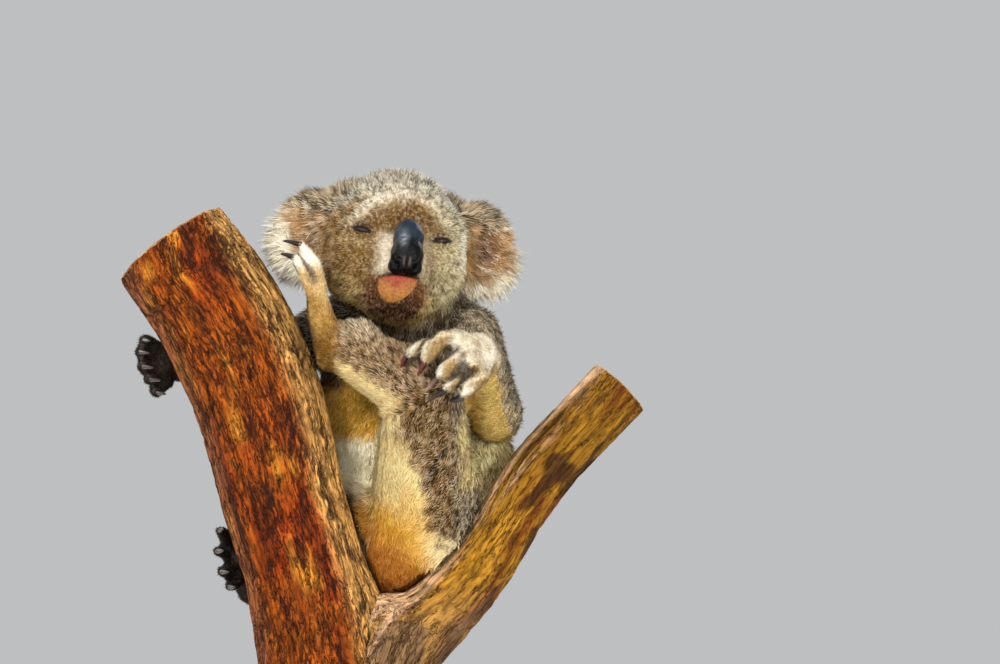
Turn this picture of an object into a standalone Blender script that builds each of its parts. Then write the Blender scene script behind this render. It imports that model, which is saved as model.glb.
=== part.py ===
"""A life-size koala that sits in the fork of a gum tree and scratches its ear with a hind foot.

The animal's left hind leg is drawn up in front of it, with the left hand on the knee. The right arm
and the right leg reach round the tree's stem. The fork stands on a plain display stand. +X is the
animal's left, -Y its front and +Z is up. The origin is the middle of the underside of the stand.
Each solid is the outside of the coat, and neighbours keep a hair's gap.
"""

import math

import bmesh
import bpy
from mathutils import Matrix, Vector
from mathutils.bvhtree import BVHTree

MM = 0.001
GAP = 0.35 * MM  # between neighbouring solids

# The display stand.
BASE_SIZE = (340, 290)
BASE_THICK = 18
BASE_EDGE = 3
ROD_RADIUS = 13
ROD_SPACING = 56
STEM_FOOT = (-34, -14, 74)  # middle of the foot of the stem
SAW_ABOVE = 4  # the level cut, above that

# The tree: points along the middle of each limb, with its radius there.
STEM_LINE = [
    ((-34, -14, 74), 66),
    ((-47, -18, 138), 60),
    ((-62, -24, 205), 56),
    ((-80, -27, 262), 57),
    ((-98, -28, 338), 60),
    ((-121, -28, 395), 61),
    ((-147, -26, 442), 60),
    ((-182, -24, 489), 58),
]
BRANCH_LINE = [
    ((-22, -10, 94), 48),
    ((9, -16, 127), 51),
    ((50, -20, 154), 35),
    ((68, -22, 172), 33),
    ((98, -20, 208), 31),
    ((124, -12, 251), 30),
    ((151, -6, 290), 30.5),
    ((180, 0, 322), 31),
    ((220, 4, 364), 31),
]

# The head is modelled facing -Y about its own middle, then turned and set on the neck.
HEAD_AT = (18, 0, 487)
HEAD_TURN = math.radians(8)
HEAD_LEAN = math.radians(7)
HEAD_LIFT = math.radians(7)
EAR_AT = (80, 14, 19)
RIGHT_EAR_LOWER = 9
EYE_AT = (34, -42.5, 3)
EYE_RADIUS = 8

# Joints of the body: place and radius of the coat there.
NECK = (40, 32, 436), 52
CHEST = (46, 46, 385)
BELLY = (32, 50, 318)
PELVIS = (32, 34, 238)
SHOULDER = {"left": ((80, 14, 410), 36), "right": ((-16, 34, 428), 36)}
ELBOW = {"left": ((108, -16, 337), 27), "right": ((-86, 80, 404), 26)}
WRIST = {"left": ((97, -94, 380), 19), "right": ((-170, 42, 391), 18)}
HIP = {"left": ((46, -2, 231), 55), "right": ((-2, 14, 238), 44)}
KNEE = {"left": ((46, -82, 354), 37), "right": ((-74, 74, 294), 33)}
ANKLE = {"left": ((-27, -60, 394), 24), "right": ((-106, 58, 200), 22)}


# ---------------------------------------------------------------- Blender helpers

def start_scene():
    for old in list(bpy.data.objects):
        bpy.data.objects.remove(old)
    collections = {}
    for name in ("koala_on_fork", "guides"):
        collections[name] = bpy.data.collections.new(name)
        bpy.context.scene.collection.children.link(collections[name])
    return collections


COLLECTIONS = start_scene()


def add_object(name, data, guide=False):
    thing = bpy.data.objects.new(name, data)
    COLLECTIONS["guides" if guide else "koala_on_fork"].objects.link(thing)
    if guide:
        thing.hide_render = True
        thing.display_type = "WIRE"
    return thing


def from_bmesh(name, shape, guide=False):
    mesh = bpy.data.meshes.new(name)
    shape.to_mesh(mesh)
    shape.free()
    return add_object(name, mesh, guide)


def remove(thing):
    data = thing.data
    bpy.data.objects.remove(thing)
    if isinstance(data, bpy.types.Mesh) and not data.users:
        bpy.data.meshes.remove(data)


def settle(thing):
    """Applies every modifier and the object's own place."""
    bpy.context.view_layer.update()
    graph = bpy.context.evaluated_depsgraph_get()
    mesh = bpy.data.meshes.new_from_object(thing.evaluated_get(graph))
    mesh.transform(thing.matrix_world)
    thing.modifiers.clear()
    old = thing.data
    thing.data = mesh
    thing.matrix_world = Matrix.Identity(4)
    if isinstance(old, bpy.types.Mesh) and not old.users:
        bpy.data.meshes.remove(old)
    return thing


def curve_to_mesh(thing):
    """A mesh object with the curve's shape, its caps welded on."""
    bpy.context.view_layer.update()
    graph = bpy.context.evaluated_depsgraph_get()
    mesh = bpy.data.meshes.new_from_object(thing.evaluated_get(graph))
    shape = bmesh.new()
    shape.from_mesh(mesh)
    bmesh.ops.remove_doubles(shape, verts=shape.verts, dist=0.01 * MM)
    bmesh.ops.recalc_face_normals(shape, faces=shape.faces)
    name, place = thing.name, thing.matrix_world.copy()
    bpy.data.objects.remove(thing)
    made = from_bmesh(name, shape)
    made.matrix_world = place
    return made


# ---------------------------------------------------------------- forms of flesh

def ball(centre, radii, turn=None, place=None, segments=24):
    """An ellipsoid; turn is its own rotation and place the frame that it stands in."""
    radii = (radii,) * 3 if isinstance(radii, (int, float)) else radii
    shape = bmesh.new()
    bmesh.ops.create_uvsphere(shape, u_segments=segments, v_segments=segments * 2 // 3, radius=MM)
    matrix = Matrix.Translation(Vector(centre) * MM) @ (turn or Matrix.Identity(4))
    matrix = (place or Matrix.Identity(4)) @ matrix @ Matrix.Diagonal((*radii, 1))
    shape.transform(matrix)
    return from_bmesh("form", shape, guide=True)


def taper(start, end, radius, end_radius, place=None):
    """A round tapered length between two points."""
    start, end = Vector(start) * MM, Vector(end) * MM
    along = end - start
    shape = bmesh.new()
    bmesh.ops.create_cone(
        shape, cap_ends=True, segments=24, radius1=radius * MM, radius2=end_radius * MM, depth=along.length
    )
    turn = along.to_track_quat("Z", "Y").to_matrix().to_4x4()
    matrix = Matrix.Translation((start + end) / 2) @ turn
    shape.transform((place or Matrix.Identity(4)) @ matrix)
    return from_bmesh("form", shape, guide=True)


def limb(*joints, place=None):
    """Balls at the joints, each (point, radius), and tapers between them."""
    forms = [ball(point, radius, place=place) for point, radius in joints]
    for (start, radius), (end, end_radius) in zip(joints, joints[1:]):
        forms.append(taper(start, end, radius, end_radius, place))
    return forms


def grow(name, forms, voxel, smoothing, triangles):
    """Melts the forms into one closed skin of about that many triangles."""
    whole = bmesh.new()
    for form in forms:
        whole.from_mesh(form.data)
        remove(form)
    thing = from_bmesh(name, whole)
    melt = thing.modifiers.new("melt", "REMESH")
    melt.mode = "VOXEL"
    melt.voxel_size = voxel * MM
    if smoothing:
        smooth = thing.modifiers.new("smooth", "SMOOTH")
        smooth.factor = 0.5
        smooth.iterations = smoothing
    thing.modifiers.new("triangles", "TRIANGULATE")
    settle(thing)
    if len(thing.data.polygons) > triangles:
        thin = thing.modifiers.new("thin", "DECIMATE")
        thin.ratio = triangles / len(thing.data.polygons)
        settle(thing)
    return thing


def swollen(thing, by):
    """A guide copy of a solid with its faces that much further out."""
    shape = bmesh.new()
    shape.from_mesh(thing.data)
    shape.normal_update()
    moves = [v.normal * by * min(v.calc_shell_factor(), 2.5) for v in shape.verts]
    for vertex, move in zip(shape.verts, moves):
        vertex.co += move
    return from_bmesh(thing.name + "_swollen", shape, guide=True)


def carve(thing, cutter, gap=GAP):
    """Takes the cutter, with a gap round it, out of a solid."""
    guide = swollen(cutter, gap)
    cut = thing.modifiers.new("cut", "BOOLEAN")
    cut.operation = "DIFFERENCE"
    cut.object = guide
    settle(thing)
    remove(guide)


def sliced(thing, name, point, normal, keep_ahead):
    """A copy of a solid on one side of a plane, half a gap away from it."""
    normal = Vector(normal).normalized()
    side = 1 if keep_ahead else -1
    shape = bmesh.new()
    shape.from_mesh(thing.data)
    cut = bmesh.ops.bisect_plane(
        shape,
        geom=shape.verts[:] + shape.edges[:] + shape.faces[:],
        plane_co=Vector(point) * MM + normal * side * GAP / 2,
        plane_no=normal * side,
        clear_inner=True,
        dist=1e-7,
    )
    edges = [e for e in cut["geom_cut"] if isinstance(e, bmesh.types.BMEdge)]
    filled = bmesh.ops.triangle_fill(shape, edges=edges, use_beauty=True)
    bmesh.ops.recalc_face_normals(shape, faces=shape.faces)
    assert filled["geom"], name
    return from_bmesh(name, shape)


def part_at(thing, names, point, normal):
    """Parts a solid with a thin flat cut into the piece behind the plane and the one ahead of it."""
    pieces = [
        sliced(thing, name, point, normal, ahead) for name, ahead in zip(names, (False, True))
    ]
    remove(thing)
    return pieces


def elbow_plane(before, joint, after):
    """The plane through a joint that halves its angle."""
    inward = (Vector(joint) - Vector(before)).normalized()
    outward = (Vector(after) - Vector(joint)).normalized()
    return joint, inward + outward


# ---------------------------------------------------------------- the head

HEAD_FRAME = (
    Matrix.Translation(Vector(HEAD_AT) * MM)
    @ Matrix.Rotation(HEAD_TURN, 4, "Z")
    @ Matrix.Rotation(HEAD_LEAN, 4, "Y")
    @ Matrix.Rotation(-HEAD_LIFT, 4, "X")
)


def head_ball(centre, radii, turn=None, segments=24):
    return ball(centre, radii, turn, HEAD_FRAME, segments)


def build_head():
    forms = [
        head_ball((0, 16, 20), (61, 60, 60)),
        head_ball((0, 44, -12), (52, 40, 44)),
        head_ball((0, -27, 28), (46, 28, 30)),
        head_ball((2, -24, -46), (36, 38, 27)),
        head_ball((1, -48, -25), (30, 26, 31)),
        head_ball((1, -50, -50), (19, 17, 16)),
        head_ball((1, -60, -44), (13, 11, 8)),
        head_ball((-38, -12, -32), (25, 28, 24)),
    ]
    for side in (-1, 1):
        forms.append(head_ball((side * 23, -14, -14), (41, 43, 46)))
        forms.append(head_ball((side * 40, 4, 8), (26, 34, 42)))
    head = grow("head", forms, 3.5, 8, 680)
    for side in (-1, 1):
        x, y, z = EYE_AT
        tilt = Matrix.Rotation(side * math.radians(8), 4, "Y")
        slit = head_ball((side * x, y - 9, z), (10, 8, 3.2), tilt, 12)
        carve(head, slit, 0)
        remove(slit)
    return head


def build_nose():
    """The bare leathery pad, from between the eyes down to the lip."""
    forms = [
        head_ball((3.2, -71, -20), (15.6, 15, 17)),
        head_ball((3.2, -68, -6), (14.6, 14, 18.5)),
        head_ball((-3.2, -73, -31), (8.6, 11, 8.6)),
        head_ball((9.4, -73, -31), (8.4, 11, 8.6)),
    ]
    return grow("nose", forms, 1.6, 3, 200)


def build_eye(name, side):
    x, y, z = EYE_AT
    return grow(name, [head_ball((side * x, y, z), EYE_RADIUS)], 1.6, 0, 80)


def build_ear(name, side):
    """A round cupped ear with its long fringe, open to the front."""
    x, y, z = EAR_AT
    if side < 0:
        z -= RIGHT_EAR_LOWER
    turn = Matrix.Rotation(side * math.radians(10), 4, "Z") @ Matrix.Rotation(side * math.radians(16), 4, "Y")
    slope = Matrix.Rotation(side * math.radians(24), 4, "Y")
    forms = [
        head_ball((side * (x - 6), y, z + 11), (34, 15, 33), turn),
        head_ball((side * (x + 3), y - 1, z - 12), (29, 15, 35), turn),
        head_ball((side * (x - 28), y + 4, z + 6), (20, 20, 36), turn),
        head_ball((side * 54, y, 44), (27, 16, 15), slope),
        head_ball((side * 44, y - 2, 52), (20, 17, 13), slope),
    ]
    ear = grow(name, forms, 3.0, 6, 190)
    cup = head_ball((side * (x + 3), y - 20, z - 3), (23, 14, 30), turn, 12)
    carve(ear, cup, 0)
    remove(cup)
    return ear


# ---------------------------------------------------------------- trunk of the body

def build_body():
    forms = [
        *limb(NECK, (CHEST, 60)),
        ball(CHEST, (66, 60, 58)),
        ball((24, 48, 380), (66, 52, 52)),
        ball(BELLY, (86, 66, 68)),
        ball(PELVIS, (66, 60, 62)),
        ball((46, 78, 352), (60, 40, 82)),
        ball((40, 64, 280), (70, 50, 62)),
        ball((22, 26, 226), (50, 50, 50)),
        ball((80, 46, 306), (50, 44, 44)),
        ball((-10, 56, 350), (52, 46, 48)),
        ball((-38, 50, 386), (20, 21, 18)),
    ]
    body = grow("body", forms, 5.0, 10, 480)
    return part_at(body, ("torso", "neck"), (44, 36, 418), (-0.18, -0.28, 1))


# ---------------------------------------------------------------- limbs

def build_arm(side):
    forms = limb(SHOULDER[side], ELBOW[side], WRIST[side])
    (shoulder, _), (elbow, _), (wrist, _) = SHOULDER[side], ELBOW[side], WRIST[side]
    mid = (Vector(shoulder) + Vector(elbow)) / 2
    forms.append(ball(mid, 31))
    arm = grow("arm", forms, 4.0, 6, 184)
    return part_at(arm, ("upper_arm_" + side, "forearm_" + side), *elbow_plane(shoulder, elbow, wrist))


def build_leg(side):
    (hip, _), (knee, _), (ankle, _) = HIP[side], KNEE[side], ANKLE[side]
    forms = limb(HIP[side], KNEE[side], ANKLE[side])
    if side == "left":
        forms.append(ball((48, -24, 276), (52, 46, 54)))
        forms.append(ball((26, 0, 218), (45, 46, 49)))
        forms.append(ball((-12, -68, 392), (27, 24, 30)))
    leg = grow("leg", forms, 4.0, 6, 256)
    return part_at(leg, ("thigh_" + side, "shin_" + side), *elbow_plane(hip, knee, ankle))


def claw(name, points, radius):
    """A curved claw of flat sides that tapers to a fine tip through three points."""
    start, middle, tip = (Vector(point) * MM for point in points)
    shape = bmesh.new()
    rings = []
    for i in range(CLAW_RINGS):
        t = i / CLAW_RINGS
        here = start * (1 - t) ** 2 + middle * 2 * t * (1 - t) + tip * t * t
        along = (middle - start) * (1 - t) + (tip - middle) * t
        turn = along.to_track_quat("Z", "Y").to_matrix().to_4x4()
        size = radius * MM * (1 - 0.8 * t)
        place = Matrix.Translation(here) @ turn
        ring = []
        for k in range(CLAW_SIDES):
            angle = math.tau * k / CLAW_SIDES
            ring.append(shape.verts.new(place @ Vector((math.cos(angle) * size, math.sin(angle) * size, 0))))
        rings.append(ring)
    for ring, further in zip(rings, rings[1:]):
        for k in range(CLAW_SIDES):
            after = (k + 1) % CLAW_SIDES
            shape.faces.new((ring[k], ring[after], further[after], further[k]))
    shape.faces.new(rings[0][::-1])
    point = shape.verts.new(tip)
    for k in range(CLAW_SIDES):
        shape.faces.new((rings[-1][k], rings[-1][(k + 1) % CLAW_SIDES], point))
    bmesh.ops.recalc_face_normals(shape, faces=shape.faces)
    return from_bmesh(name, shape)


DIGIT_RADII = {"hand_left": 7.6, "hand_right": 6.8, "foot_left": 6.5, "foot_right": 6.8}
CLAW_RADII = {"hand_left": 3.9, "hand_right": 3.2, "foot_left": 3.4, "foot_right": 3.2}
CLAW_SIDES = 6
CLAW_RINGS = 3

# Each digit: where it leaves the palm, its knuckle, its tip and where the claw's point ends.
HAND_DIGITS = {
    "left": {
        "palm": [((94, -106, 384), 18), ((86, -117, 385), 15)],
        "digits": [
            ((74, -122, 396), (53, -126, 391), (35, -117, 384), (27, -104, 370)),
            ((80, -126, 395), (65, -136, 396), (50, -127, 377), (41, -115, 363)),
            ((88, -127, 387), (79, -138, 384), (61, -131, 363), (47, -117, 349)),
            ((93, -123, 377), (88, -136, 371), (68, -129, 352), (49, -116, 342)),
            ((97, -114, 370), (97, -127, 362), (82, -124, 346), (67, -113, 342)),
        ],
    },
    "right": {
        "palm": [((-186, 22, 390), 18), ((-194, 4, 386), 15)],
        "digits": [
            ((-192, 4, 397), (-203, -14, 404), (-204, -34, 403), (-196, -52, 400)),
            ((-195, 0, 391), (-207, -18, 394), (-207, -40, 392), (-196, -57, 389)),
            ((-194, -2, 383), (-206, -20, 382), (-204, -42, 379), (-192, -58, 376)),
            ((-191, 0, 376), (-201, -18, 371), (-198, -39, 368), (-186, -54, 365)),
            ((-187, 6, 370), (-195, -10, 361), (-192, -30, 357), (-182, -45, 354)),
        ],
    },
}
FOOT_DIGITS = {
    "left": {
        "sole": [((-34, -61, 388), 17), ((-43, -62, 409), 13), ((-47, -62, 428), 11.5), ((-49, -64, 440), 10)],
        "digits": [
            ((-46, -67, 446), (-50, -74, 466), (-61, -73, 482), (-81, -63, 488)),
            ((-52, -69, 440), (-59, -75, 457), (-68, -73, 471), (-82, -63, 476)),
            ((-49, -54, 446), (-54, -46, 462), (-60, -36, 470), (-70, -22, 466)),
            ((-50, -48, 438), (-53, -38, 451), (-55, -28, 457), (-62, -15, 454)),
        ],
        "big_toe": [((-44, -54, 404), 9), ((-50, -42, 415), 8), ((-54, -33, 423), 7.5)],
    },
    "right": {
        "sole": [((-110, 52, 186), 17), ((-118, 34, 204), 15), ((-122, 16, 212), 14)],
        "digits": [
            ((-124, 14, 222), (-133, -2, 231), (-136, -20, 234), (-131, -37, 235)),
            ((-125, 12, 214), (-135, -5, 216), (-138, -23, 216), (-130, -42, 216)),
            ((-122, 10, 205), (-131, -8, 200), (-134, -26, 198), (-125, -43, 197)),
            ((-118, 12, 196), (-125, -6, 188), (-127, -22, 185), (-120, -39, 184)),
        ],
        "big_toe": [((-98, 50, 184), 12), ((-86, 54, 166), 10), ((-78, 50, 154), 9)],
    },
}


def build_digits(digits, name):
    """The forms of the digits, and the claw that grows from each."""
    forms, claws = [], []
    for i, (root, knuckle, tip, point) in enumerate(digits, 1):
        radii = [DIGIT_RADII[name[5:]] * share for share in (1, 0.9, 0.7)]
        forms += limb((root, radii[0]), (knuckle, radii[1]), (tip, radii[2]))
        root, tip, point = Vector(knuckle), Vector(tip), Vector(point)
        out = (tip - root).normalized()
        start = tip + out * 1.5
        middle = (start + point) / 2 + out * 3
        claws.append(claw(f"{name}_{i}", (start, middle, point), CLAW_RADII[name[5:]]))
    return forms, claws


def build_hand(side):
    data = HAND_DIGITS[side]
    digit_forms, claws = build_digits(data["digits"], "claw_hand_" + side)
    forms = limb(WRIST[side], *data["palm"]) + digit_forms
    hand = grow("hand_" + side, forms, 2.5, 3, 280)
    return hand, claws


def build_foot(side):
    data = FOOT_DIGITS[side]
    digit_forms, claws = build_digits(data["digits"], "claw_foot_" + side)
    forms = limb(ANKLE[side], *data["sole"]) + digit_forms + limb(*data["big_toe"])
    foot = grow("foot_" + side, forms, 2.5, 3, 262)
    return foot, claws


# ---------------------------------------------------------------- the tree and the stand

def build_limb_of_tree(name, line):
    """A gently curved length of wood, sawn flat at both ends."""
    path = bpy.data.curves.new(name, "CURVE")
    path.dimensions = "3D"
    path.resolution_u = 2
    path.bevel_depth = MM
    path.bevel_resolution = 4
    path.use_fill_caps = True
    spline = path.splines.new("BEZIER")
    spline.bezier_points.add(len(line) - 1)
    for knot, (point, radius) in zip(spline.bezier_points, line):
        knot.co = Vector(point) * MM
        knot.handle_left_type = knot.handle_right_type = "AUTO"
        knot.radius = radius
    return curve_to_mesh(add_object(name, path))


def sawn_level(thing, name):
    """Cuts the bottom off level, just above the foot of the stem."""
    x, y, z = STEM_FOOT
    kept = sliced(thing, name, (x, y, z + SAW_ABOVE), (0, 0, 1), True)
    remove(thing)
    kept.name = name
    return kept


def build_tree():
    stem = sawn_level(build_limb_of_tree("stem_uncut", STEM_LINE), "perch_stem")
    branch = sawn_level(build_limb_of_tree("branch_uncut", BRANCH_LINE), "perch_branch")
    carve(branch, stem)
    return stem, branch


def build_stand():
    shape = bmesh.new()
    bmesh.ops.create_cube(shape, size=1)
    shape.transform(Matrix.Diagonal((BASE_SIZE[0] * MM, BASE_SIZE[1] * MM, BASE_THICK * MM, 1)))
    base = from_bmesh("stand_base", shape)
    base.location = (0, 0, BASE_THICK * MM / 2)
    edge = base.modifiers.new("edge", "BEVEL")
    edge.width = BASE_EDGE * MM
    edge.segments = 1
    settle(base)
    x, y, z = STEM_FOOT
    rods = []
    for i, side in enumerate((-1, 1), 1):
        shape = bmesh.new()
        foot, top = BASE_THICK * MM + GAP, (z + SAW_ABOVE) * MM
        bmesh.ops.create_cone(
            shape, cap_ends=True, segments=24, radius1=ROD_RADIUS * MM, radius2=ROD_RADIUS * MM, depth=top - foot
        )
        rod = from_bmesh(f"stand_rod_{i}", shape)
        rod.location = ((x + side * ROD_SPACING / 2) * MM, y * MM, (foot + top) / 2)
        rods.append(settle(rod))
    return base, rods


# ---------------------------------------------------------------- fitting and colours

def bounds_of(thing):
    points = [v.co for v in thing.data.vertices]
    return [[pick(p[i] for p in points) for i in range(3)] for pick in (min, max)]


def boxes_meet(one, other):
    (low, high), (other_low, other_high) = bounds_of(one), bounds_of(other)
    return all(low[i] - GAP < other_high[i] and other_low[i] - GAP < high[i] for i in range(3))


def surface_of(thing):
    shape = bmesh.new()
    shape.from_mesh(thing.data)
    surface = BVHTree.FromBMesh(shape)
    shape.free()
    return surface


def too_close(one, other):
    """Whether two solids cross or come nearer than half the gap."""
    if not boxes_meet(one, other):
        return False
    guide = swollen(other, GAP / 2)
    crossing = surface_of(one).overlap(surface_of(guide))
    remove(guide)
    return bool(crossing)


def keep_largest(thing):
    """Drops crumbs that a cut leaves beside the main body."""
    shape = bmesh.new()
    shape.from_mesh(thing.data)
    shape.verts.ensure_lookup_table()
    seen, groups = set(), []
    for start in shape.verts:
        if start in seen:
            continue
        group, todo = [], [start]
        seen.add(start)
        while todo:
            vertex = todo.pop()
            group.append(vertex)
            for edge in vertex.link_edges:
                other = edge.other_vert(vertex)
                if other not in seen:
                    seen.add(other)
                    todo.append(other)
        groups.append(group)
    groups.sort(key=len, reverse=True)
    for group in groups[1:]:
        bmesh.ops.delete(shape, geom=group, context="VERTS")
    shape.to_mesh(thing.data)
    shape.free()


def fit_together(order):
    """Each solid gives way to those before it in the order."""
    for i, thing in enumerate(order):
        for kept in order[:i]:
            if too_close(thing, kept):
                carve(thing, kept)
                keep_largest(thing)


def paint(things, name, colour, roughness, metallic=0.0):
    material = bpy.data.materials.new(name)
    material.use_nodes = True
    shader = material.node_tree.nodes["Principled BSDF"]
    shader.inputs["Base Color"].default_value = (*colour, 1)
    shader.inputs["Roughness"].default_value = roughness
    shader.inputs["Metallic"].default_value = metallic
    for thing in things:
        thing.data.materials.clear()
        thing.data.materials.append(material)


def main():
    stem, branch = build_tree()
    base, rods = build_stand()
    nose = build_nose()
    eyes = [build_eye("eye_left", 1), build_eye("eye_right", -1)]
    ears = [build_ear("ear_left", 1), build_ear("ear_right", -1)]
    head = build_head()
    torso, neck = build_body()
    hands, feet, claws = [], [], []
    for side in ("left", "right"):
        hand, nails = build_hand(side)
        hands.append(hand)
        claws += nails
        foot, nails = build_foot(side)
        feet.append(foot)
        claws += nails
    arms = [piece for side in ("left", "right") for piece in build_arm(side)]
    legs = [piece for side in ("left", "right") for piece in build_leg(side)]
    stem_side = [stem, branch, base, *rods]
    flesh = [head, *ears, torso, neck, *hands, *feet, *arms[::-1], *legs[::-1]]
    fit_together([*stem_side, *claws, *eyes, flesh[0], nose, *flesh[1:]])
    paint([stem, branch], "bark", (0.32, 0.17, 0.09), 0.9)
    paint([base], "stand_board", (0.72, 0.70, 0.66), 0.5)
    paint(rods, "stand_steel", (0.55, 0.55, 0.56), 0.35, 1.0)
    paint(claws, "claw", (0.03, 0.025, 0.022), 0.35)
    paint([nose], "nose_leather", (0.02, 0.02, 0.024), 0.45)
    paint(eyes, "eye", (0.03, 0.018, 0.01), 0.1)
    paint(flesh, "fur", (0.36, 0.30, 0.23), 0.95)


main()
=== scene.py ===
import math
from types import SimpleNamespace

import bmesh
import bpy
import numpy as np
from mathutils import Matrix, Vector
from mathutils.bvhtree import BVHTree


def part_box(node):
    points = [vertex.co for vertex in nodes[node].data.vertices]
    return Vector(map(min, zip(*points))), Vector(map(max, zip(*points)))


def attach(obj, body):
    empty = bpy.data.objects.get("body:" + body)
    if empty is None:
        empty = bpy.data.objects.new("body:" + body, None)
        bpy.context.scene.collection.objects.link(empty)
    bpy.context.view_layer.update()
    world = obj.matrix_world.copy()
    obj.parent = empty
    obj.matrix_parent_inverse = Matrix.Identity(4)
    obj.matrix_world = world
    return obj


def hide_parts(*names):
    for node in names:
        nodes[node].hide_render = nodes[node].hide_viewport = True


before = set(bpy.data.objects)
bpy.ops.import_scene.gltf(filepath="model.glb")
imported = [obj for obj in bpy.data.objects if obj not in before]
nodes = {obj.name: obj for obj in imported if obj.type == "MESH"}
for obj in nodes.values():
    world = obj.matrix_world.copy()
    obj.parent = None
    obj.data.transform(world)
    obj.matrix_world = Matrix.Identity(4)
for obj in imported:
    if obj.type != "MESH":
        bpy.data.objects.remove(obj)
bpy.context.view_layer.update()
bpy.ops.object.select_all(action="DESELECT")
rng = np.random.default_rng(11)


def srgb(r, g, b):
    # 0 to 255 on screen, as the linear colour that a shader wants
    c = np.array([r, g, b], float) / 255
    return np.where(c <= 0.04045, c / 12.92, ((c + 0.055) / 1.055) ** 2.4)


def unit(v):
    return v / np.maximum(np.linalg.norm(v, axis=-1, keepdims=True), 1e-12)


def ramp(x, low, high):
    t = np.clip((x - low) / (high - low), 0, 1)
    return t * t * (3 - 2 * t)


def bell(x, wide=1):
    # 1 at nought, fading to nothing on both sides
    return np.exp(-((x / wide) ** 2))


def blend(a, b, t):
    return a + (b - a) * np.clip(t, 0, 1)[:, None]


def scramble(cells, seed):
    # a fixed random number from 0 to 1 for each whole-numbered cell
    n = cells[..., 0] * 73856093 ^ cells[..., 1] * 19349663 ^ cells[..., 2] * 83492791 ^ (seed * 2654435761)
    n = (n ^ (n >> 13)) * 1274126177 & 0x7FFFFFFF
    n = (n ^ (n >> 16)) * 668265263 & 0x7FFFFFFF
    return ((n ^ (n >> 15)) & 0xFFFFFF) / float(0xFFFFFF)


def clouds(points, size, seed, rounds=1):
    # smooth random bumps from -1 to 1, of that size in metres
    total, weight, whole = 0, 1.0, 0.0
    for k in range(rounds):
        p = points / size * 2**k + 100.37
        cell = np.floor(p).astype(np.int64)
        f = p - cell
        f = f * f * (3 - 2 * f)
        value = 0
        for corner in np.ndindex(2, 2, 2):
            share = np.prod(np.where(np.array(corner), f, 1 - f), axis=-1)
            value = value + share * scramble(cell + np.array(corner), seed + k)
        total = total + weight * (value * 2 - 1)
        whole += weight
        weight *= 0.5
    return total / whole


def flakes(points, seed):
    # cells about 1 across: how far a point is from its cell's edge, and a random number for the cell
    cell = np.floor(points).astype(np.int64)
    first = np.full(len(points), 9.0)
    second = np.full(len(points), 9.0)
    owner = np.zeros(len(points))
    for corner in np.ndindex(3, 3, 3):
        near = cell + np.array(corner) - 1
        heart = near + np.stack([scramble(near, seed + k) for k in range(3)], -1)
        d = np.linalg.norm(points - heart, axis=-1)
        closer = d < first
        second = np.where(closer, first, np.minimum(second, d))
        owner = np.where(closer, scramble(near, seed + 7), owner)
        first = np.where(closer, d, first)
    return second - first, owner


def meshFrom(name, points, faces):
    # faces is one array, all triangles or all quads
    mesh = bpy.data.meshes.new(name)
    mesh.vertices.add(len(points))
    mesh.vertices.foreach_set("co", np.asarray(points, np.float32).ravel())
    mesh.loops.add(faces.size)
    mesh.loops.foreach_set("vertex_index", faces.astype(np.int32).ravel())
    mesh.polygons.add(len(faces))
    mesh.polygons.foreach_set("loop_start", np.arange(0, faces.size, faces.shape[1], dtype=np.int32))
    mesh.update(calc_edges=True)
    smoothFaces(mesh)
    thing = bpy.data.objects.new(name, mesh)
    bpy.context.scene.collection.objects.link(thing)
    return thing


def joined(pieces):
    # several pairs of points and faces as one pair
    starts = np.cumsum([0] + [len(points) for points, _ in pieces])
    faces = [faces + start for (_, faces), start in zip(pieces, starts)]
    return np.concatenate([points for points, _ in pieces]), np.concatenate(faces)


def smoothFaces(mesh):
    mesh.polygons.foreach_set("use_smooth", np.ones(len(mesh.polygons), bool))


def readAll(items, field, wide, kind=np.float32):
    values = np.empty(len(items) * wide, kind)
    items.foreach_get(field, values)
    return values.reshape(-1, wide)


def pointsOf(mesh):
    return readAll(mesh.vertices, "co", 3).astype(float)


def normalsOf(mesh):
    return readAll(mesh.vertex_normals, "vector", 3).astype(float)


def edgesOf(mesh):
    return readAll(mesh.edges, "vertices", 2, np.int32)


def putPoints(mesh, points):
    mesh.vertices.foreach_set("co", points.astype(np.float32).ravel())
    mesh.update()


def putColours(mesh, name, colours):
    layer = mesh.color_attributes.new(name, "FLOAT_COLOR", "POINT")
    whole = np.ones((len(colours), 4), np.float32)
    whole[:, :3] = np.clip(colours, 0, 1)
    layer.data.foreach_set("color", whole.ravel())


def putUnwrap(mesh, spots, faces):
    layer = mesh.uv_layers.new(name="OFBake")
    layer.data.foreach_set("uv", spots[faces.ravel()].astype(np.float32).ravel())


def spread(values, edges, count):
    # each point's mean over its neighbours
    total = np.zeros_like(values)
    for k in range(values.shape[1]):
        total[:, k] = np.bincount(edges[:, 0], values[edges[:, 1], k], count)
        total[:, k] += np.bincount(edges[:, 1], values[edges[:, 0], k], count)
    share = np.bincount(edges.ravel(), minlength=count)
    return total / np.maximum(share, 1)[:, None]


def spreadOne(values, edges):
    return spread(values[:, None], edges, len(values))[:, 0]


def merged(name):
    # a CAD node's points and triangles, with its doubles merged
    mesh = nodes[name].data
    points = pointsOf(mesh)
    mesh.calc_loop_triangles()
    faces = readAll(mesh.loop_triangles, "vertices", 3, np.int32)
    grid = np.round(points * 1e6).astype(np.int64)  # to a thousandth of a millimetre
    _, first, same = np.unique(grid, axis=0, return_index=True, return_inverse=True)
    return points[first], same.ravel()[faces]


def pointNormals(points, faces):
    a, b, c = (points[faces[:, k]] for k in range(3))
    across = np.cross(b - a, c - a)
    normals = np.zeros_like(points)
    for k in range(3):
        for axis in range(3):
            normals[:, axis] += np.bincount(faces[:, k], across[:, axis], len(points))
    return unit(normals)


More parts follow.
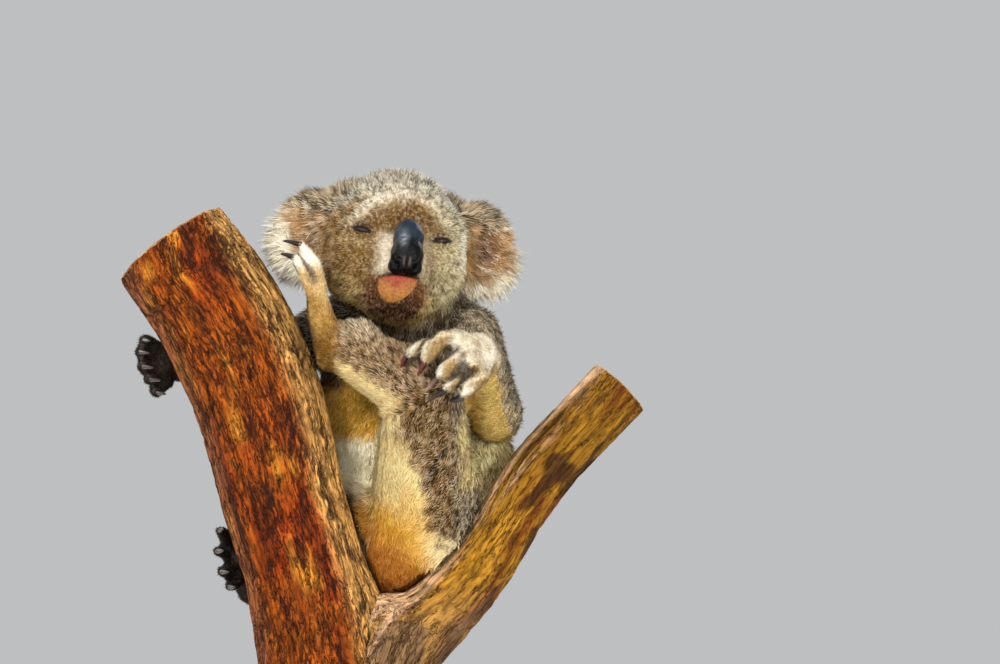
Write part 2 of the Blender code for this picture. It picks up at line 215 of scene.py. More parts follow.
def selectOnly(thing):
    bpy.ops.object.select_all(action="DESELECT")
    thing.select_set(True)
    bpy.context.view_layer.objects.active = thing


def applyAll(thing):
    selectOnly(thing)
    for modifier in list(thing.modifiers):
        bpy.ops.object.modifier_apply(modifier=modifier.name)


def remeshed(thing, cell):
    melt = thing.modifiers.new("melt", "REMESH")
    melt.mode = "VOXEL"
    melt.voxel_size = cell
    melt.use_smooth_shade = True
    applyAll(thing)


def surfaceOf(points, faces):
    return BVHTree.FromPolygons(points.tolist(), faces.tolist())


def middle(name):
    low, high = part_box(name)
    return np.array((low + high) / 2)


headPose = {"turn": 8, "lean": 7, "lift": 7, "eyeBack": -0.0425, "eyeUp": 0.003}  # degrees and metres
headTurn = np.array(
    Matrix.Rotation(math.radians(headPose["turn"]), 3, "Z")
    @ Matrix.Rotation(math.radians(headPose["lean"]), 3, "Y")
    @ Matrix.Rotation(-math.radians(headPose["lift"]), 3, "X")
)
betweenEyes = (middle("eye_left") + middle("eye_right")) / 2
headAt = betweenEyes - headTurn @ np.array([0, headPose["eyeBack"], headPose["eyeUp"]])


def inHead(points):
    # world to the head's own axes: x to its left, -y forward, z up
    return (points - headAt) @ headTurn


def placeInHead(name):
    return inHead(middle(name)[None])[0]


def newMaterial(name):
    material = bpy.data.materials.new(name)
    material.use_nodes = True
    tree = material.node_tree
    return material, tree, tree.nodes["Principled BSDF"]


def feed(tree, node, sockets):
    # each socket takes a fixed value or another node's output
    for key, value in sockets.items():
        if isinstance(value, bpy.types.NodeSocket):
            tree.links.new(value, node.inputs[key])
        else:
            node.inputs[key].default_value = value


def addNode(tree, kind, sockets, **settings):
    node = tree.nodes.new("ShaderNode" + kind)
    for key, value in settings.items():
        setattr(node, key, value)
    feed(tree, node, sockets)
    return node.outputs


def attribute(tree, name, output="Color"):
    return addNode(tree, "Attribute", {}, attribute_name=name)[output]


def noiseOn(tree, place, scale, detail, output="Fac", roughness=0.5):
    sockets = {"Vector": place, "Scale": scale, "Detail": detail, "Roughness": roughness}
    return addNode(tree, "TexNoise", sockets)[output]


def objectNoise(tree, scale, detail, stretch=None):
    place = addNode(tree, "TexCoord", {})["Object"]
    if stretch:
        place = addNode(tree, "Mapping", {"Vector": place, "Scale": stretch})["Vector"]
    return noiseOn(tree, place, scale, detail)


def mapped(tree, value, low=0.0, high=1.0, toLow=0.0, toHigh=1.0):
    sockets = {"Value": value, "From Min": low, "From Max": high, "To Min": toLow, "To Max": toHigh}
    return addNode(tree, "MapRange", sockets)["Result"]


def mixed(tree, factor, a, b, way="MIX"):
    sockets = {"Factor": factor, "A": a, "B": b}
    return addNode(tree, "Mix", sockets, data_type="RGBA", blend_type=way)["Result"]


def bumped(tree, height, strength, depth):
    return addNode(tree, "Bump", {"Strength": strength, "Distance": depth, "Height": height})["Normal"]


def paintedMaterial(name, look):
    # colour from the piece's own markings, broken up a little, with a bump from the same noise
    material, tree, shader = newMaterial(name)
    noise = objectNoise(tree, look["noiseScale"], 5.0)
    mottle = mapped(tree, noise, 0.3, 0.7, 1 - look["mottle"], 1 + look["mottle"])
    colour = addNode(tree, "VectorMath", {0: attribute(tree, "markings"), 1: mottle}, operation="MULTIPLY")
    feed(tree, shader, {
        "Base Color": colour["Vector"], "Normal": bumped(tree, noise, look["bump"], look["bumpDepth"]),
        "Roughness": look["roughness"], "Specular IOR Level": look["specular"],
    })
    return material


def hornMaterial(name, look):
    # colour from the piece's own markings, darkened here and there by fine noise
    material, tree, shader = newMaterial(name)
    noise = objectNoise(tree, look["noiseScale"], 3.0)
    colour = mixed(tree, look["mottle"], attribute(tree, "markings"), noise, "MULTIPLY")
    feed(tree, shader, {
        "Base Color": colour, "Roughness": look["roughness"], "Specular IOR Level": look["specular"],
    })
    if look["bump"]:
        feed(tree, shader, {"Normal": bumped(tree, noise, look["bump"], look["bumpDepth"])})
    return material


furLook = {
    "noiseScale": 900, "mottle": 0.14, "bump": 0.15, "bumpDepth": 0.0005, "roughness": 0.8, "specular": 0.05,
}
skinLook = {
    "noiseScale": 420, "mottle": 0.3, "bump": 0.5, "bumpDepth": 0.0012, "roughness": 0.8, "specular": 0.2,
}
furMaterial = paintedMaterial("furHair", furLook)
skinMaterial = paintedMaterial("furHide", skinLook)
sides = ("left", "right")
limbParts = ("upper_arm", "forearm", "hand", "thigh", "shin", "foot")
pawNames = ("hand_left", "hand_right", "foot_left", "foot_right")
clawNames = [name for name in nodes if name.startswith("claw_")]
limbNames = [f"{part}_{side}" for side in sides for part in limbParts]
flesh = ["head", "ear_left", "ear_right", "neck", "torso", *limbNames]
skinMake = {
    "cell": 0.0021, "swell": 0.0009, "pawSwell": 0.7, "eyePlug": 0.0112, "bodySmoothing": 30,
    "handSmoothing": 4, "regionRounds": 9, "keepBody": 0.55, "groove": 0.0016,
}
# how far the skin lies under the CAD's surface, to leave room for the coat, in metres
coatDepth = {
    "head": 0.0036, "ear": 0.005, "neck": 0.006, "torso": 0.006, "upper_arm": 0.005, "forearm": 0.004,
    "hand": 0.0009, "thigh": 0.005, "shin": 0.0045, "foot": 0.0009,
}


def kindOf(name):
    return name.rsplit("_", 1)[0] if name.endswith(("_left", "_right")) else name


def isPaw(name):
    return kindOf(name) in ("hand", "foot")


def betweenDigits(part, points):
    # 1 in the grooves between the digits of a hand or foot, and how far out along the digits a point is
    centre = middle(part)
    far, along = [], []
    for name in clawNames:
        if not name.startswith("claw_" + part):
            continue
        corners, _ = merged(name)
        base = corners[np.linalg.norm(corners - centre, axis=1).argsort()[:6]].mean(0)
        start = base + (centre - base) * 0.62
        run = base - start
        t = np.clip((points - start) @ run / (run @ run), 0, 1)
        far.append(np.linalg.norm(points - start - t[:, None] * run, axis=1))
        along.append(t)
    order = np.argsort(far, axis=0)
    far, along = np.array(far), np.array(along)
    pick = np.arange(len(points))
    gap = far[order[1], pick] - far[order[0], pick]
    t = along[order[0], pick]
    return ramp(0.0030 - gap, 0, 0.0022) * ramp(t, 0.02, 0.3), t


def eyePlug(side):
    # fills the hollow behind an eye
    plug = bmesh.new()
    place = Matrix.Translation(middle("eye_" + side))
    bmesh.ops.create_icosphere(plug, subdivisions=3, radius=skinMake["eyePlug"], matrix=place)
    points = np.array([v.co for v in plug.verts])
    faces = np.array([[v.index for v in f.verts] for f in plug.faces])
    plug.free()
    return points, faces


def makeSkin():
    pieces = []
    for name in flesh:
        points, faces = merged(name)
        swell = skinMake["swell"] * (skinMake["pawSwell"] if isPaw(name) else 1)
        pieces.append((points + pointNormals(points, faces) * swell, faces))
    pieces += [eyePlug(side) for side in sides]
    thing = meshFrom("koalaSkin", *joined(pieces))
    remeshed(thing, skinMake["cell"])
    return thing


def keepOuter(thing):
    # drops any sealed hollow left between the pieces
    shape = bmesh.new()
    shape.from_mesh(thing.data)
    shape.verts.ensure_lookup_table()
    seen = np.zeros(len(shape.verts), bool)
    groups = []
    for vertex in shape.verts:
        if seen[vertex.index]:
            continue
        seen[vertex.index] = True
        group, todo = [], [vertex]
        while todo:
            here = todo.pop()
            group.append(here)
            for edge in here.link_edges:
                other = edge.other_vert(here)
                if not seen[other.index]:
                    seen[other.index] = True
                    todo.append(other)
        groups.append(group)
    groups.sort(key=len)
    for group in groups[:-1]:
        bmesh.ops.delete(shape, geom=group, context="VERTS")
    shape.to_mesh(thing.data)
    shape.free()


def regionShares(points, edges):
    # how much each point belongs to each flesh node, blended across the joins
    best = np.full(len(points), 9.0)
    owner = np.zeros(len(points), int)
    for k, name in enumerate(flesh):
        corners, faces = merged(name)
        surface = BVHTree.FromPolygons(corners.tolist(), faces.tolist())
        low, high = corners.min(0) - 0.012, corners.max(0) + 0.012
        for i in np.nonzero(((points > low) & (points < high)).all(1))[0]:
            d = surface.find_nearest(points[i])[3]
            if d < best[i]:
                best[i] = d
                owner[i] = k
    shares = np.zeros((len(points), len(flesh)))
    shares[np.arange(len(points)), owner] = 1
    for _ in range(skinMake["regionRounds"]):
        shares = 0.4 * shares + 0.6 * spread(shares, edges, len(points))
    return shares


def smoothed(points, edges, weight, rounds):
    # smooths without shrinking: a step in, then a slightly longer step out
    for _ in range(rounds):
        for step in (0.5, -0.52):
            points = points + step * weight[:, None] * (spread(points, edges, len(points)) - points)
    return points


def refine(mesh, wanted):
    # splits the faces whose middle is wanted
    shape = bmesh.new()
    shape.from_mesh(mesh)
    shape.faces.ensure_lookup_table()
    middles = np.array([f.calc_center_median() for f in shape.faces])
    chosen = {shape.faces[i] for i in np.nonzero(wanted(middles))[0]}
    edges = [edge for edge in shape.edges if any(f in chosen for f in edge.link_faces)]
    bmesh.ops.subdivide_edges(shape, edges=edges, cuts=1, use_grid_fill=True)
    shape.to_mesh(mesh)
    shape.free()


skinThing = makeSkin()
keepOuter(skinThing)
print("skin: remeshed,", len(skinThing.data.vertices), "points")


def aroundEyesAndMouth(points):
    p = inHead(points)
    eyes = np.hypot(np.abs(p[:, 0]) - 0.034, p[:, 2] - 0.003) < 0.015
    mouth = (np.abs(p[:, 0]) < 0.026) & (p[:, 2] < -0.030) & (p[:, 2] > -0.070)
    return (p[:, 1] < -0.03) & (eyes | mouth)


# millimetres in the head's axes, from here to the lips
face = {
    "mouthUp": -38.4, "mouthDeep": 2.2, "lipDeep": 22.5, "lipWide": 17.5, "lipLean": 2.5, "lipHigh": 2.4,
    "chinUp": -66, "socketDeep": 1.0, "socketWide": 8.0,
}
# folds round each eye: push outwards, height over the eye, bend, thickness, half length, fade
eyeFolds = {
    "brow": (1.3, 10.5, -0.02, 3.0, 15, 8),
    "creaseAbove": (-1.2, 6.2, -0.03, 1.3, 12, 6),
    "creaseBelow": (-1.0, -7.6, 0.03, 1.4, 12, 6),
    "bag": (0.9, -10.5, 0, 2.6, 14, 8),
}


def mouthAt(x):
    # height of the mouth's line, from the sideways place
    return face["mouthUp"] + 0.06 * x - 0.005 * x**2


def lipShare(p):
    # 1 on the bare lip, wide at the mouth and narrowing to a rounded tip
    down = (mouthAt(p[:, 0]) - 1.4 - p[:, 2]) / face["lipDeep"]
    half = face["lipWide"] * np.sqrt(1 - np.clip(down, 0, 1) ** 1.8)
    edge = half - np.abs(p[:, 0] + 0.5 + face["lipLean"] * np.clip(down, 0, 1))
    return ramp(edge, -1.6, 2.0) * ramp(down, -0.06, 0.04) * ramp(-p[:, 1], 30, 42)


def shapeFace(points, normals):
    # the mouth, the lip pad, the brows and the hollows round the eyes, pushed along the normal
    p = inHead(points) * 1000
    front = ramp(-p[:, 1], 30, 42)
    push = np.zeros(len(p))
    x = p[:, 0] - 0.5
    push -= face["mouthDeep"] * bell(p[:, 2] - mouthAt(p[:, 0]), 1.3) * ramp(18 - np.abs(x), 0, 4) * front
    push += face["lipHigh"] * lipShare(p) * front
    push -= 0.8 * bell(p[:, 2] - face["chinUp"], 2.5) * ramp(16 - np.abs(x), 0, 6) * front
    for side in sides:
        e = placeInHead("eye_" + side) * 1000
        dx, dz = p[:, 0] - e[0], p[:, 2] - e[2]
        for high, rise, bend, thick, half, fade in eyeFolds.values():
            push += high * bell(dz - rise - bend * dx**2, thick) * ramp(half - np.abs(dx), 0, fade) * front
        around = np.hypot(dx / 1.25, dz)
        push -= face["socketDeep"] * np.exp(-((around / face["socketWide"]) ** 4)) * front
    return points + normals * push[:, None] / 1000


def thinBody(thing, plain):
    # the body needs fewer faces than the face, the hands and the feet
    group = thing.vertex_groups.new(name="plainBody")
    for i in np.nonzero(plain > 0.5)[0]:
        group.add([int(i)], 1.0, "REPLACE")
    thin = thing.modifiers.new("thin", "DECIMATE")
    thin.ratio = skinMake["keepBody"]
    thin.vertex_group = "plainBody"
    applyAll(thing)
    thing.vertex_groups.clear()


def behindEye(points, side):
    # moves the skin back to pass behind the eyeball
    e = middle("eye_" + side)
    away = points - e
    far = np.linalg.norm(away, axis=1)
    inFront = (far < 0.0085) & (inHead(points)[:, 1] < inHead(e[None])[0, 1] + 0.004)
    points[inFront] = e + away[inFront] / far[inFront, None] * 0.0068


mesh = skinThing.data
points, edges = pointsOf(mesh), edgesOf(mesh)
shares = regionShares(points, edges)
pawShare = sum(shares[:, k] for k, name in enumerate(flesh) if isPaw(name))
calm = np.where(pawShare > 0.5, 0.0, 1.0)
points = smoothed(points, edges, 1 - 0.5 * np.clip(pawShare, 0, 1), skinMake["handSmoothing"])
points = smoothed(points, edges, spreadOne(calm, edges), skinMake["bodySmoothing"])
putPoints(mesh, points)
frontOfHead = ramp(-inHead(points)[:, 1], -0.01, 0.02) * shares[:, flesh.index("head")]
thinBody(skinThing, np.clip(1 - pawShare - frontOfHead, 0, 1))
mesh = skinThing.data
refine(mesh, aroundEyesAndMouth)
points, edges = pointsOf(mesh), edgesOf(mesh)
shares = regionShares(points, edges)
depth = shares @ np.array([coatDepth[kindOf(name)] for name in flesh])
faceShare = ramp(-inHead(points)[:, 1], 0.0, 0.035) * shares[:, flesh.index("head")]
depth = depth * (1 - 0.45 * faceShare)
normals = normalsOf(mesh)
points = points - normals * depth[:, None]
points = smoothed(points, edges, np.ones(len(points)), 3)
points = shapeFace(points, normals)
for part in pawNames:
    groove, _ = betweenDigits(part, points)
    points = points - normals * (skinMake["groove"] * groove * shares[:, flesh.index(part)])[:, None]
for side in sides:
    behindEye(points, side)
putPoints(mesh, points)
print("skin: shaped,", len(points), "points")

# colours of the coat and of the bare skin, 0 to 255, with one deep brown for painted shade
coatPaints = {
    "head": (132, 100, 50), "headPale": (190, 172, 130), "forehead": (108, 76, 32), "brow": (250, 230, 200),
    "crown": (182, 172, 152), "muzzle": (230, 214, 188), "chin": (98, 50, 14), "chinUnder": (92, 50, 22),
    "jaw": (226, 188, 116), "earInner": (160, 122, 78), "earNear": (166, 118, 36), "earDeep": (72, 36, 14),
    "earRim": (246, 232, 204), "earBack": (140, 124, 100), "throat": (44, 31, 20), "belly": (196, 148, 52),
    "back": (124, 106, 82), "cream": (240, 208, 146), "gold": (226, 164, 52), "rust": (150, 80, 2),
    "white": (255, 236, 192), "rump": (240, 214, 164), "thighDark": (118, 88, 46),
    "thighTan": (255, 222, 150), "shin": (128, 100, 66), "heel": (118, 80, 18), "paw": (156, 118, 54),
    "digit": (200, 168, 114), "handWhite": (246, 232, 206), "pad": (40, 32, 28), "dark": (52, 42, 36),
    "lip": (140, 92, 50), "lipRed": (132, 56, 42), "lipEdge": (140, 94, 34), "rim": (30, 22, 18),
    "arm": (176, 158, 130), "foreInner": (210, 176, 98), "foreDeep": (186, 136, 40),
}
paint = {name: srgb(*colour) for name, colour in coatPaints.items()}

# eyes, half shut behind their lids: radii in metres, each lid's opening in millimetres, angles in degrees
eyeLook = {
    "radius": 0.0079, "lidRadius": 0.00875, "slant": 13, "upper": 0.5, "lower": 0.95, "corner": 66,
    "rim": 0.26, "noiseScale": 1400, "mottle": 0.35, "bump": 0, "roughness": 0.42, "specular": 0.3,
}


def eyeAxes(side):
    # forward, outward along the slit, and up across it, in the world
    s = 1 if side == "left" else -1
    forward = unit(np.array([s * 0.40, -0.91, -0.02]))
    level = unit(np.cross(forward, [0, 0, 1])) * s
    if level[0] * s < 0:
        level = -level
    up = np.cross(level, forward) * s
    if up[2] < 0:
        up = -up
    tip = math.radians(eyeLook["slant"])
    outward = level * math.cos(tip) + up * math.sin(tip)
    upward = up * math.cos(tip) - level * math.sin(tip)
    return [headTurn @ v for v in (forward, outward, upward)]


def earPlace(side, h):
    # across and up from the middle of an ear, in millimetres, with across outwards
    e = placeInHead("ear_" + side) * 1000
    s = 1 if side == "left" else -1
    return s * (h[:, 0] - e[0]), h[:, 2] - e[2]


def muzzleLook(at, look):
    # the pale patches beside the nose, stronger on the animal's right
    across, z = at.h[:, 0], at.h[:, 2]
    strength = np.where(across < 3, 1.0, 0.35)
    beside = bell(np.abs(across - 3) - 17, 7.5)
    streak = 0.75 + 0.5 * ramp(clouds(at.points * np.array([1, 1, 0.25]), 0.0016, 47), -0.3, 0.3)
    height = ramp(z + 4 * at.ripple, -42, -33) * ramp(8 - z + 4 * at.ripple, 0, 14)
    patch = strength * beside * streak * ramp(-at.h[:, 1], 40, 58) * height
    return blend(look, paint["muzzle"], patch), beside


def browLook(at, look):
    x, y, z, ripple = np.abs(at.h[:, 0]), at.h[:, 1], at.h[:, 2], at.ripple
    high = ramp(z + 3 * ripple, 4, 16) * ramp(33 - z - 0.010 * x**2 + 3 * ripple, 0, 9)
    look = blend(look, paint["forehead"], 0.92 * ramp(-y, 22, 38) * high)
    between = ramp(17 - x, 0, 8) * ramp(z, -14, 0) * ramp(24 - z, 0, 8)
    look = blend(look, paint["forehead"], 0.5 * ramp(-y, 30, 45) * between)
    arc = z - (40 - 0.013 * x**2) + 3.5 * ripple
    onRight = at.h[:, 0] < 0
    arch = np.where(onRight, 0.85, 0.6) * bell(arc, np.where(onRight, 8.0, 5.0))
    look = blend(look, paint["brow"], arch * ramp(-y, 5, 25) * ramp(54 - x, 0, 20))
    cheek = 0.75 * (at.h[:, 0] > 0) * bell(x - 57 + 0.1 * np.abs(z), 5) * ramp(-y, 0, 20)
    return blend(look, paint["brow"], cheek * ramp(38 - z, 0, 20) * ramp(z + 8 * ripple, -30, -5))


def jawLook(at, look):
    across, x, y, z, ripple = at.h[:, 0], np.abs(at.h[:, 0]), at.h[:, 1], at.h[:, 2], at.ripple
    cheek = ramp(-z + 0.25 * np.clip(-across - 20, 0, 40), 42, 56)
    look = blend(look, paint["jaw"], (0.6 + 0.1 * ramp(across, -30, 40)) * cheek * ramp(-y, -10, 25))
    chin = ramp(31 - x + 6 * ripple, 0, 12) * ramp(-z + 0.2 * x, 42, 50)
    look = blend(look, paint["chin"], 0.95 * chin * ramp(-y, 22, 38))
    under = ramp(25 - np.abs(across + 2) + 7 * ripple, 0, 12) * ramp(-z + 4 * ripple + 0.25 * x, 56, 64)
    look = blend(look, paint["chinUnder"], 0.9 * under * ramp(-y, 22, 40))
    below = ramp(-at.headNormals[:, 2], 0.82, 0.94)
    return blend(look, paint["jaw"], 0.9 * below * ramp(y, -37, -30) * ramp(10 - y, 0, 10))


def eyeLooks(at, look):
    # the shade round each eye and the dark slit between the lids
    y, z = at.h[:, 1], at.h[:, 2]
    slit = np.zeros(len(z))
    for side in sides:
        forward, outward, upward = eyeAxes(side)
        e = placeInHead("eye_" + side) * 1000
        away = at.p - middle("eye_" + side) * 1000
        a, b = away @ outward, away @ upward
        ahead = ramp(away @ forward, -6, 0) * at.part["head"]
        near = np.hypot((at.h[:, 0] - e[0]) / 1.5, z - e[2])
        look = blend(look, paint["forehead"] * 0.6, 0.5 * bell(near - 4, 3.2) * ramp(-y, 30, 38))
        crease = bell(b - 6.2 + 0.05 * a**2, 1.3) * ramp(11 - np.abs(a), 0, 5)
        look = blend(look, paint["rim"] * 2.2, 0.7 * ahead * crease)
        under = bell(near - 12, 3) * ramp(-y, 30, 40) * ramp(e[2] - z, 0, 8)
        look = blend(look, paint["headPale"], 0.25 * under)
        half = 0.9 + 1.7 * np.clip(1 - (a / 10.5) ** 2, 0, 1)
        slit = np.maximum(slit, ahead * ramp(half - np.abs(b), -0.9, 0.5) * ramp(12.5 - np.abs(a), 0, 3))
    return blend(look, paint["rim"], 0.93 * slit)


def lipLook(at, look):
    # the bare lip and the mouth's line, both without hair
    x, y, z, ripple = np.abs(at.h[:, 0]), at.h[:, 1], at.h[:, 2], at.ripple
    lip = ramp(lipShare(at.h) + 0.3 * ripple, 0.15, 0.85) * at.part["head"]
    down = (mouthAt(at.h[:, 0]) - 1.4 - z) / face["lipDeep"]
    lower = ramp(down + 0.2 * ripple + 0.02 * (x - 4), 0.05, 0.6)
    bareSkin = blend(at.plain * paint["lipRed"], paint["lip"], lower)
    bareSkin = blend(bareSkin, paint["lipEdge"], ramp(down + 0.15 * ripple, 0.45, 1.0))
    at.bare = np.maximum(at.bare, ramp(lip, 0.55, 1.0))
    look = blend(look, bareSkin, lip)
    line = bell(z - mouthAt(at.h[:, 0]), 1.9) * ramp(20 - x, 0, 4) * ramp(-y, 40, 50)
    at.bare = np.maximum(at.bare, ramp(line, 0.5, 0.9) * at.part["head"])
    return blend(look, paint["rim"], line)


def headLooks(at):
    y, z = at.h[:, 1], at.h[:, 2]
    # the animal's left side is paler, partly its own colour and partly painted light
    look = blend(at.plain * paint["head"], paint["headPale"], ramp(at.h[:, 0] + 6 * at.wander, 12, 46))
    look = blend(look, paint["crown"], ramp(z + 0.25 * (y + 40) + 5 * at.wander, 28, 44))
    look = blend(look, paint["earBack"], ramp(y + 6 * at.wander, 10, 40))
    look, beside = muzzleLook(at, browLook(at, look))
    look = lipLook(at, eyeLooks(at, jawLook(at, look)))
    spots = (0.95 + 0.1 * ramp(z, 25, 45)) * (1 - 0.4 * beside * ramp(-y, 45, 60))
    return {"head": (look, np.clip(spots, 0, 1))}


# where the pale rim starts, how strong the dark middle is, and its half width and height in millimetres
earLook = {"left": (0.76, 0.97, 13, 20), "right": (0.66, 0.75, 9, 15)}


def earLooks(at):
    looks = {}
    for side in sides:
        out, up = earPlace(side, at.h)
        start, depth, deepWide, deepTall = earLook[side]
        rim = np.hypot(out / 31, up / 42)
        inner = ramp(-at.headNormals[:, 1], -0.1, 0.4)
        ear = blend(at.plain * paint["earBack"], paint["earInner"], inner)
        ear = blend(ear, paint["earNear"], inner * ramp(-out + 5 * at.wander, 1, 12))
        deep = bell(np.hypot((out - 1 + 6 * at.wander) / deepWide, (up + 6) / deepTall))
        ear = blend(ear, paint["earDeep"], inner * depth * deep)
        # hairs inside the ear run outwards as pale and dark streaks
        turn, reach = np.arctan2(up + 8, out + 26), np.hypot(out + 26, up + 8)
        comb = clouds(np.stack([turn * 0.030, reach * 0.00030, up * 0], -1), 0.0020, 83, 2)
        pale = 0.7 - (0.5 * deep if side == "left" else 0)
        ear = blend(ear, paint["earRim"], inner * pale * ramp(comb, 0.12, 0.35) * ramp(out, -16, 0))
        ear = blend(ear, paint["earDeep"], inner * 0.6 * ramp(-comb, 0.16, 0.4) * ramp(out, -16, 0))
        onRim = 0.95 * ramp(rim + 0.16 * at.ripple, start, start + 0.28)
        ear = blend(ear, paint["earRim"], onRim * ramp(24 - up, 0, 22) * ramp(out, -24, -4))
        ear = blend(ear, paint["earBack"], 0.9 * ramp(up + 4 * at.ripple, 12, 24))
        # a dark line along the fold at the ear's top, painted shade
        ear = blend(ear, paint["dark"], 0.75 * bell(up - 15 + 4 * at.ripple, 3.6) * ramp(12 - out, 0, 16))
        looks["ear_" + side] = ear, 0.45 + 0.5 * ramp(up, 6, 20)
    return looks


def trunkLooks(at):
    x, z, wander = at.p[:, 0], at.p[:, 2], at.wander
    ahead = ramp(-at.normals[:, 1] + 0.2 * wander, -0.05, 0.5)
    trunk = blend(at.plain * paint["back"], paint["belly"], ahead * ramp(66 - x, 0, 26))
    # the upper chest is darkened with the deep brown, painted shade under the head and the raised leg
    trunk = blend(trunk, paint["throat"], ahead * ramp(z + 8 * wander, 366, 392))
    trunk = blend(trunk, paint["rump"], 0.75 * ramp(230 - z + 14 * wander, 0, 26) * (1 - ahead))
    trunk = blend(trunk, paint["white"], ahead * ramp(326 - z + 7 * wander, 0, 12) * ramp(20 - x, 0, 20))
    trunk = blend(trunk, paint["thighTan"], 0.8 * ahead * ramp(x, 78, 90) * ramp(345 - z, 0, 24))
    # the hollow beside the stem and the part under the head are painted shade
    trunk = blend(trunk, paint["throat"], 0.9 * ramp(-24 - x, 0, 12) * ramp(z + 5 * wander, 360, 374))
    trunk = blend(trunk, paint["throat"], 0.85 * at.underHead)
    inFront = ramp(-at.normals[:, 1] + 0.2 * wander, -0.4, 0.2)
    # the neck is darkened all over and most at the front, painted shade under the head
    neck = blend(at.plain * paint["back"] * 0.6, paint["throat"], inFront)
    return {"torso": (trunk, 0.85 - 0.5 * ahead * ramp(80 - x, 0, 26)), "neck": (neck, 0.5)}


def leftThighLooks(at):
    # the thigh that lies across the front
    x, z, wander, ripple = at.p[:, 0], at.p[:, 2], at.wander, at.ripple
    edge = 29 + 0.36 * np.clip(322 - z, 0, 50) + 0.15 * np.clip(272 - z, 0, 60) + 8 * wander + 5 * ripple
    creamy = ramp(edge - x, -5, 12) * ramp(352 - z, 0, 30)
    low = ramp(229 - z + 8 * wander + 5 * ripple, -4, 16)
    onEdge = ramp(x + 8 * wander, 74, 88) * ramp(z + 8 * wander, 258, 290)
    thigh = blend(at.plain * paint["thighDark"], paint["thighTan"], 0.85 * onEdge)
    thigh = blend(thigh, paint["crown"], 0.4 * ramp(x + 6 * ripple, 66, 84) * (1 - onEdge))
    thigh = blend(thigh, paint["cream"], creamy)
    thigh = blend(thigh, paint["gold"], 0.75 * creamy * ramp(284 - z + 10 * wander, 0, 50))
    thigh = blend(thigh, paint["cream"], low * ramp(86 - x, 0, 30))
    thigh = blend(thigh, paint["rump"], low * ramp(x + 8 * wander, 50, 78))
    sunk = 260 - 0.85 * (x + 8) + 9 * wander + 4 * ripple
    thigh = blend(thigh, paint["gold"], 0.9 * ramp(sunk + 20 - z, 0, 22) * ramp(60 - x, 0, 20))
    # darker near the branch, a painted shadow
    thigh = blend(thigh, paint["heel"], 0.45 * ramp(214 - z + 6 * wander, 0, 18) * ramp(x, 34, 48))
    thigh = blend(thigh, paint["rust"], 0.9 * ramp(sunk + 8 - z, 0, 44) * ramp(64 - x, -4, 20))
    # a dark notch on the thigh, a painted shadow between the tufts
    tuftShadow = np.hypot((x - 56 - 0.5 * (z - 286)) / 2.4, (z - 286) / 20)
    thigh = blend(thigh, paint["dark"], 0.75 * ramp(1.2 - tuftShadow + 0.3 * ripple, 0, 0.5))
    return {"thigh_left": (thigh, 1 - 0.72 * np.clip(creamy + low + 0.6 * onEdge, 0, 1))}


def leftFootLooks(at):
    x, z, wander, ripple = at.p[:, 0], at.p[:, 2], at.wander, at.ripple
    below = ramp(-(at.normals[:, 2] * 0.8 + at.normals[:, 0] * 0.6) + 0.2 * ripple, 0.38, 0.8)
    shin = blend(at.plain * paint["shin"], paint["cream"], 0.9 * below)
    shin = blend(shin, paint["arm"], 0.7 * ramp(z + 5 * wander, 392, 408))
    # ochre on the ankle's left side, partly its own colour and partly painted shade
    ankle = ramp(-18 - x + 6 * wander, 0, 14)
    shin = blend(shin, paint["heel"], ankle)
    groove, _ = betweenDigits("foot_left", at.points)
    foot = blend(at.plain * paint["paw"], paint["digit"], ramp(z + 4 * wander + 0.8 * (x + 48), 426, 452))
    foot = blend(foot, paint["handWhite"], ramp(z + 4 * wander, 456, 470))
    foot = blend(foot, paint["heel"], ramp(420 - z + 4 * wander, 0, 26))
    # the grooves between the toes are painted shade
    foot = blend(foot, paint["pad"] * 1.6, 0.85 * groove)
    sole = ramp(-at.normals[:, 0] + 0.1 * ripple, 0.74, 0.88)
    foot = blend(foot, paint["pad"], sole)
    at.bare = np.maximum(at.bare, ramp(sole, 0.4, 0.8) * at.part["foot_left"])
    return {"shin_left": (shin, 1 - 0.7 * np.clip(below + ankle, 0, 1)), "foot_left": (foot, 0.5)}


def rightLegLooks(at):
    z, wander = at.p[:, 2], at.wander
    inner = ramp(at.normals[:, 0] * 0.5 - at.normals[:, 1] * 0.7 + 0.2 * wander, 0.1, 0.5)
    thigh = blend(at.plain * paint["back"], paint["white"], inner * ramp(z + 6 * wander, 262, 276))
    thigh = blend(thigh, paint["heel"], inner * ramp(268 - z + 5 * wander, 0, 16))
    shin = blend(at.plain * paint["back"], paint["belly"], 0.5 * inner)
    # the right foot is dark all over, painted shade
    foot = blend(at.plain * paint["dark"], paint["pad"], ramp(at.normals[:, 0], 0.4, 0.7))
    return {"thigh_right": (thigh, 0.8 - 0.6 * inner), "shin_right": (shin, 0.8), "foot_right": (foot, 0.3)}


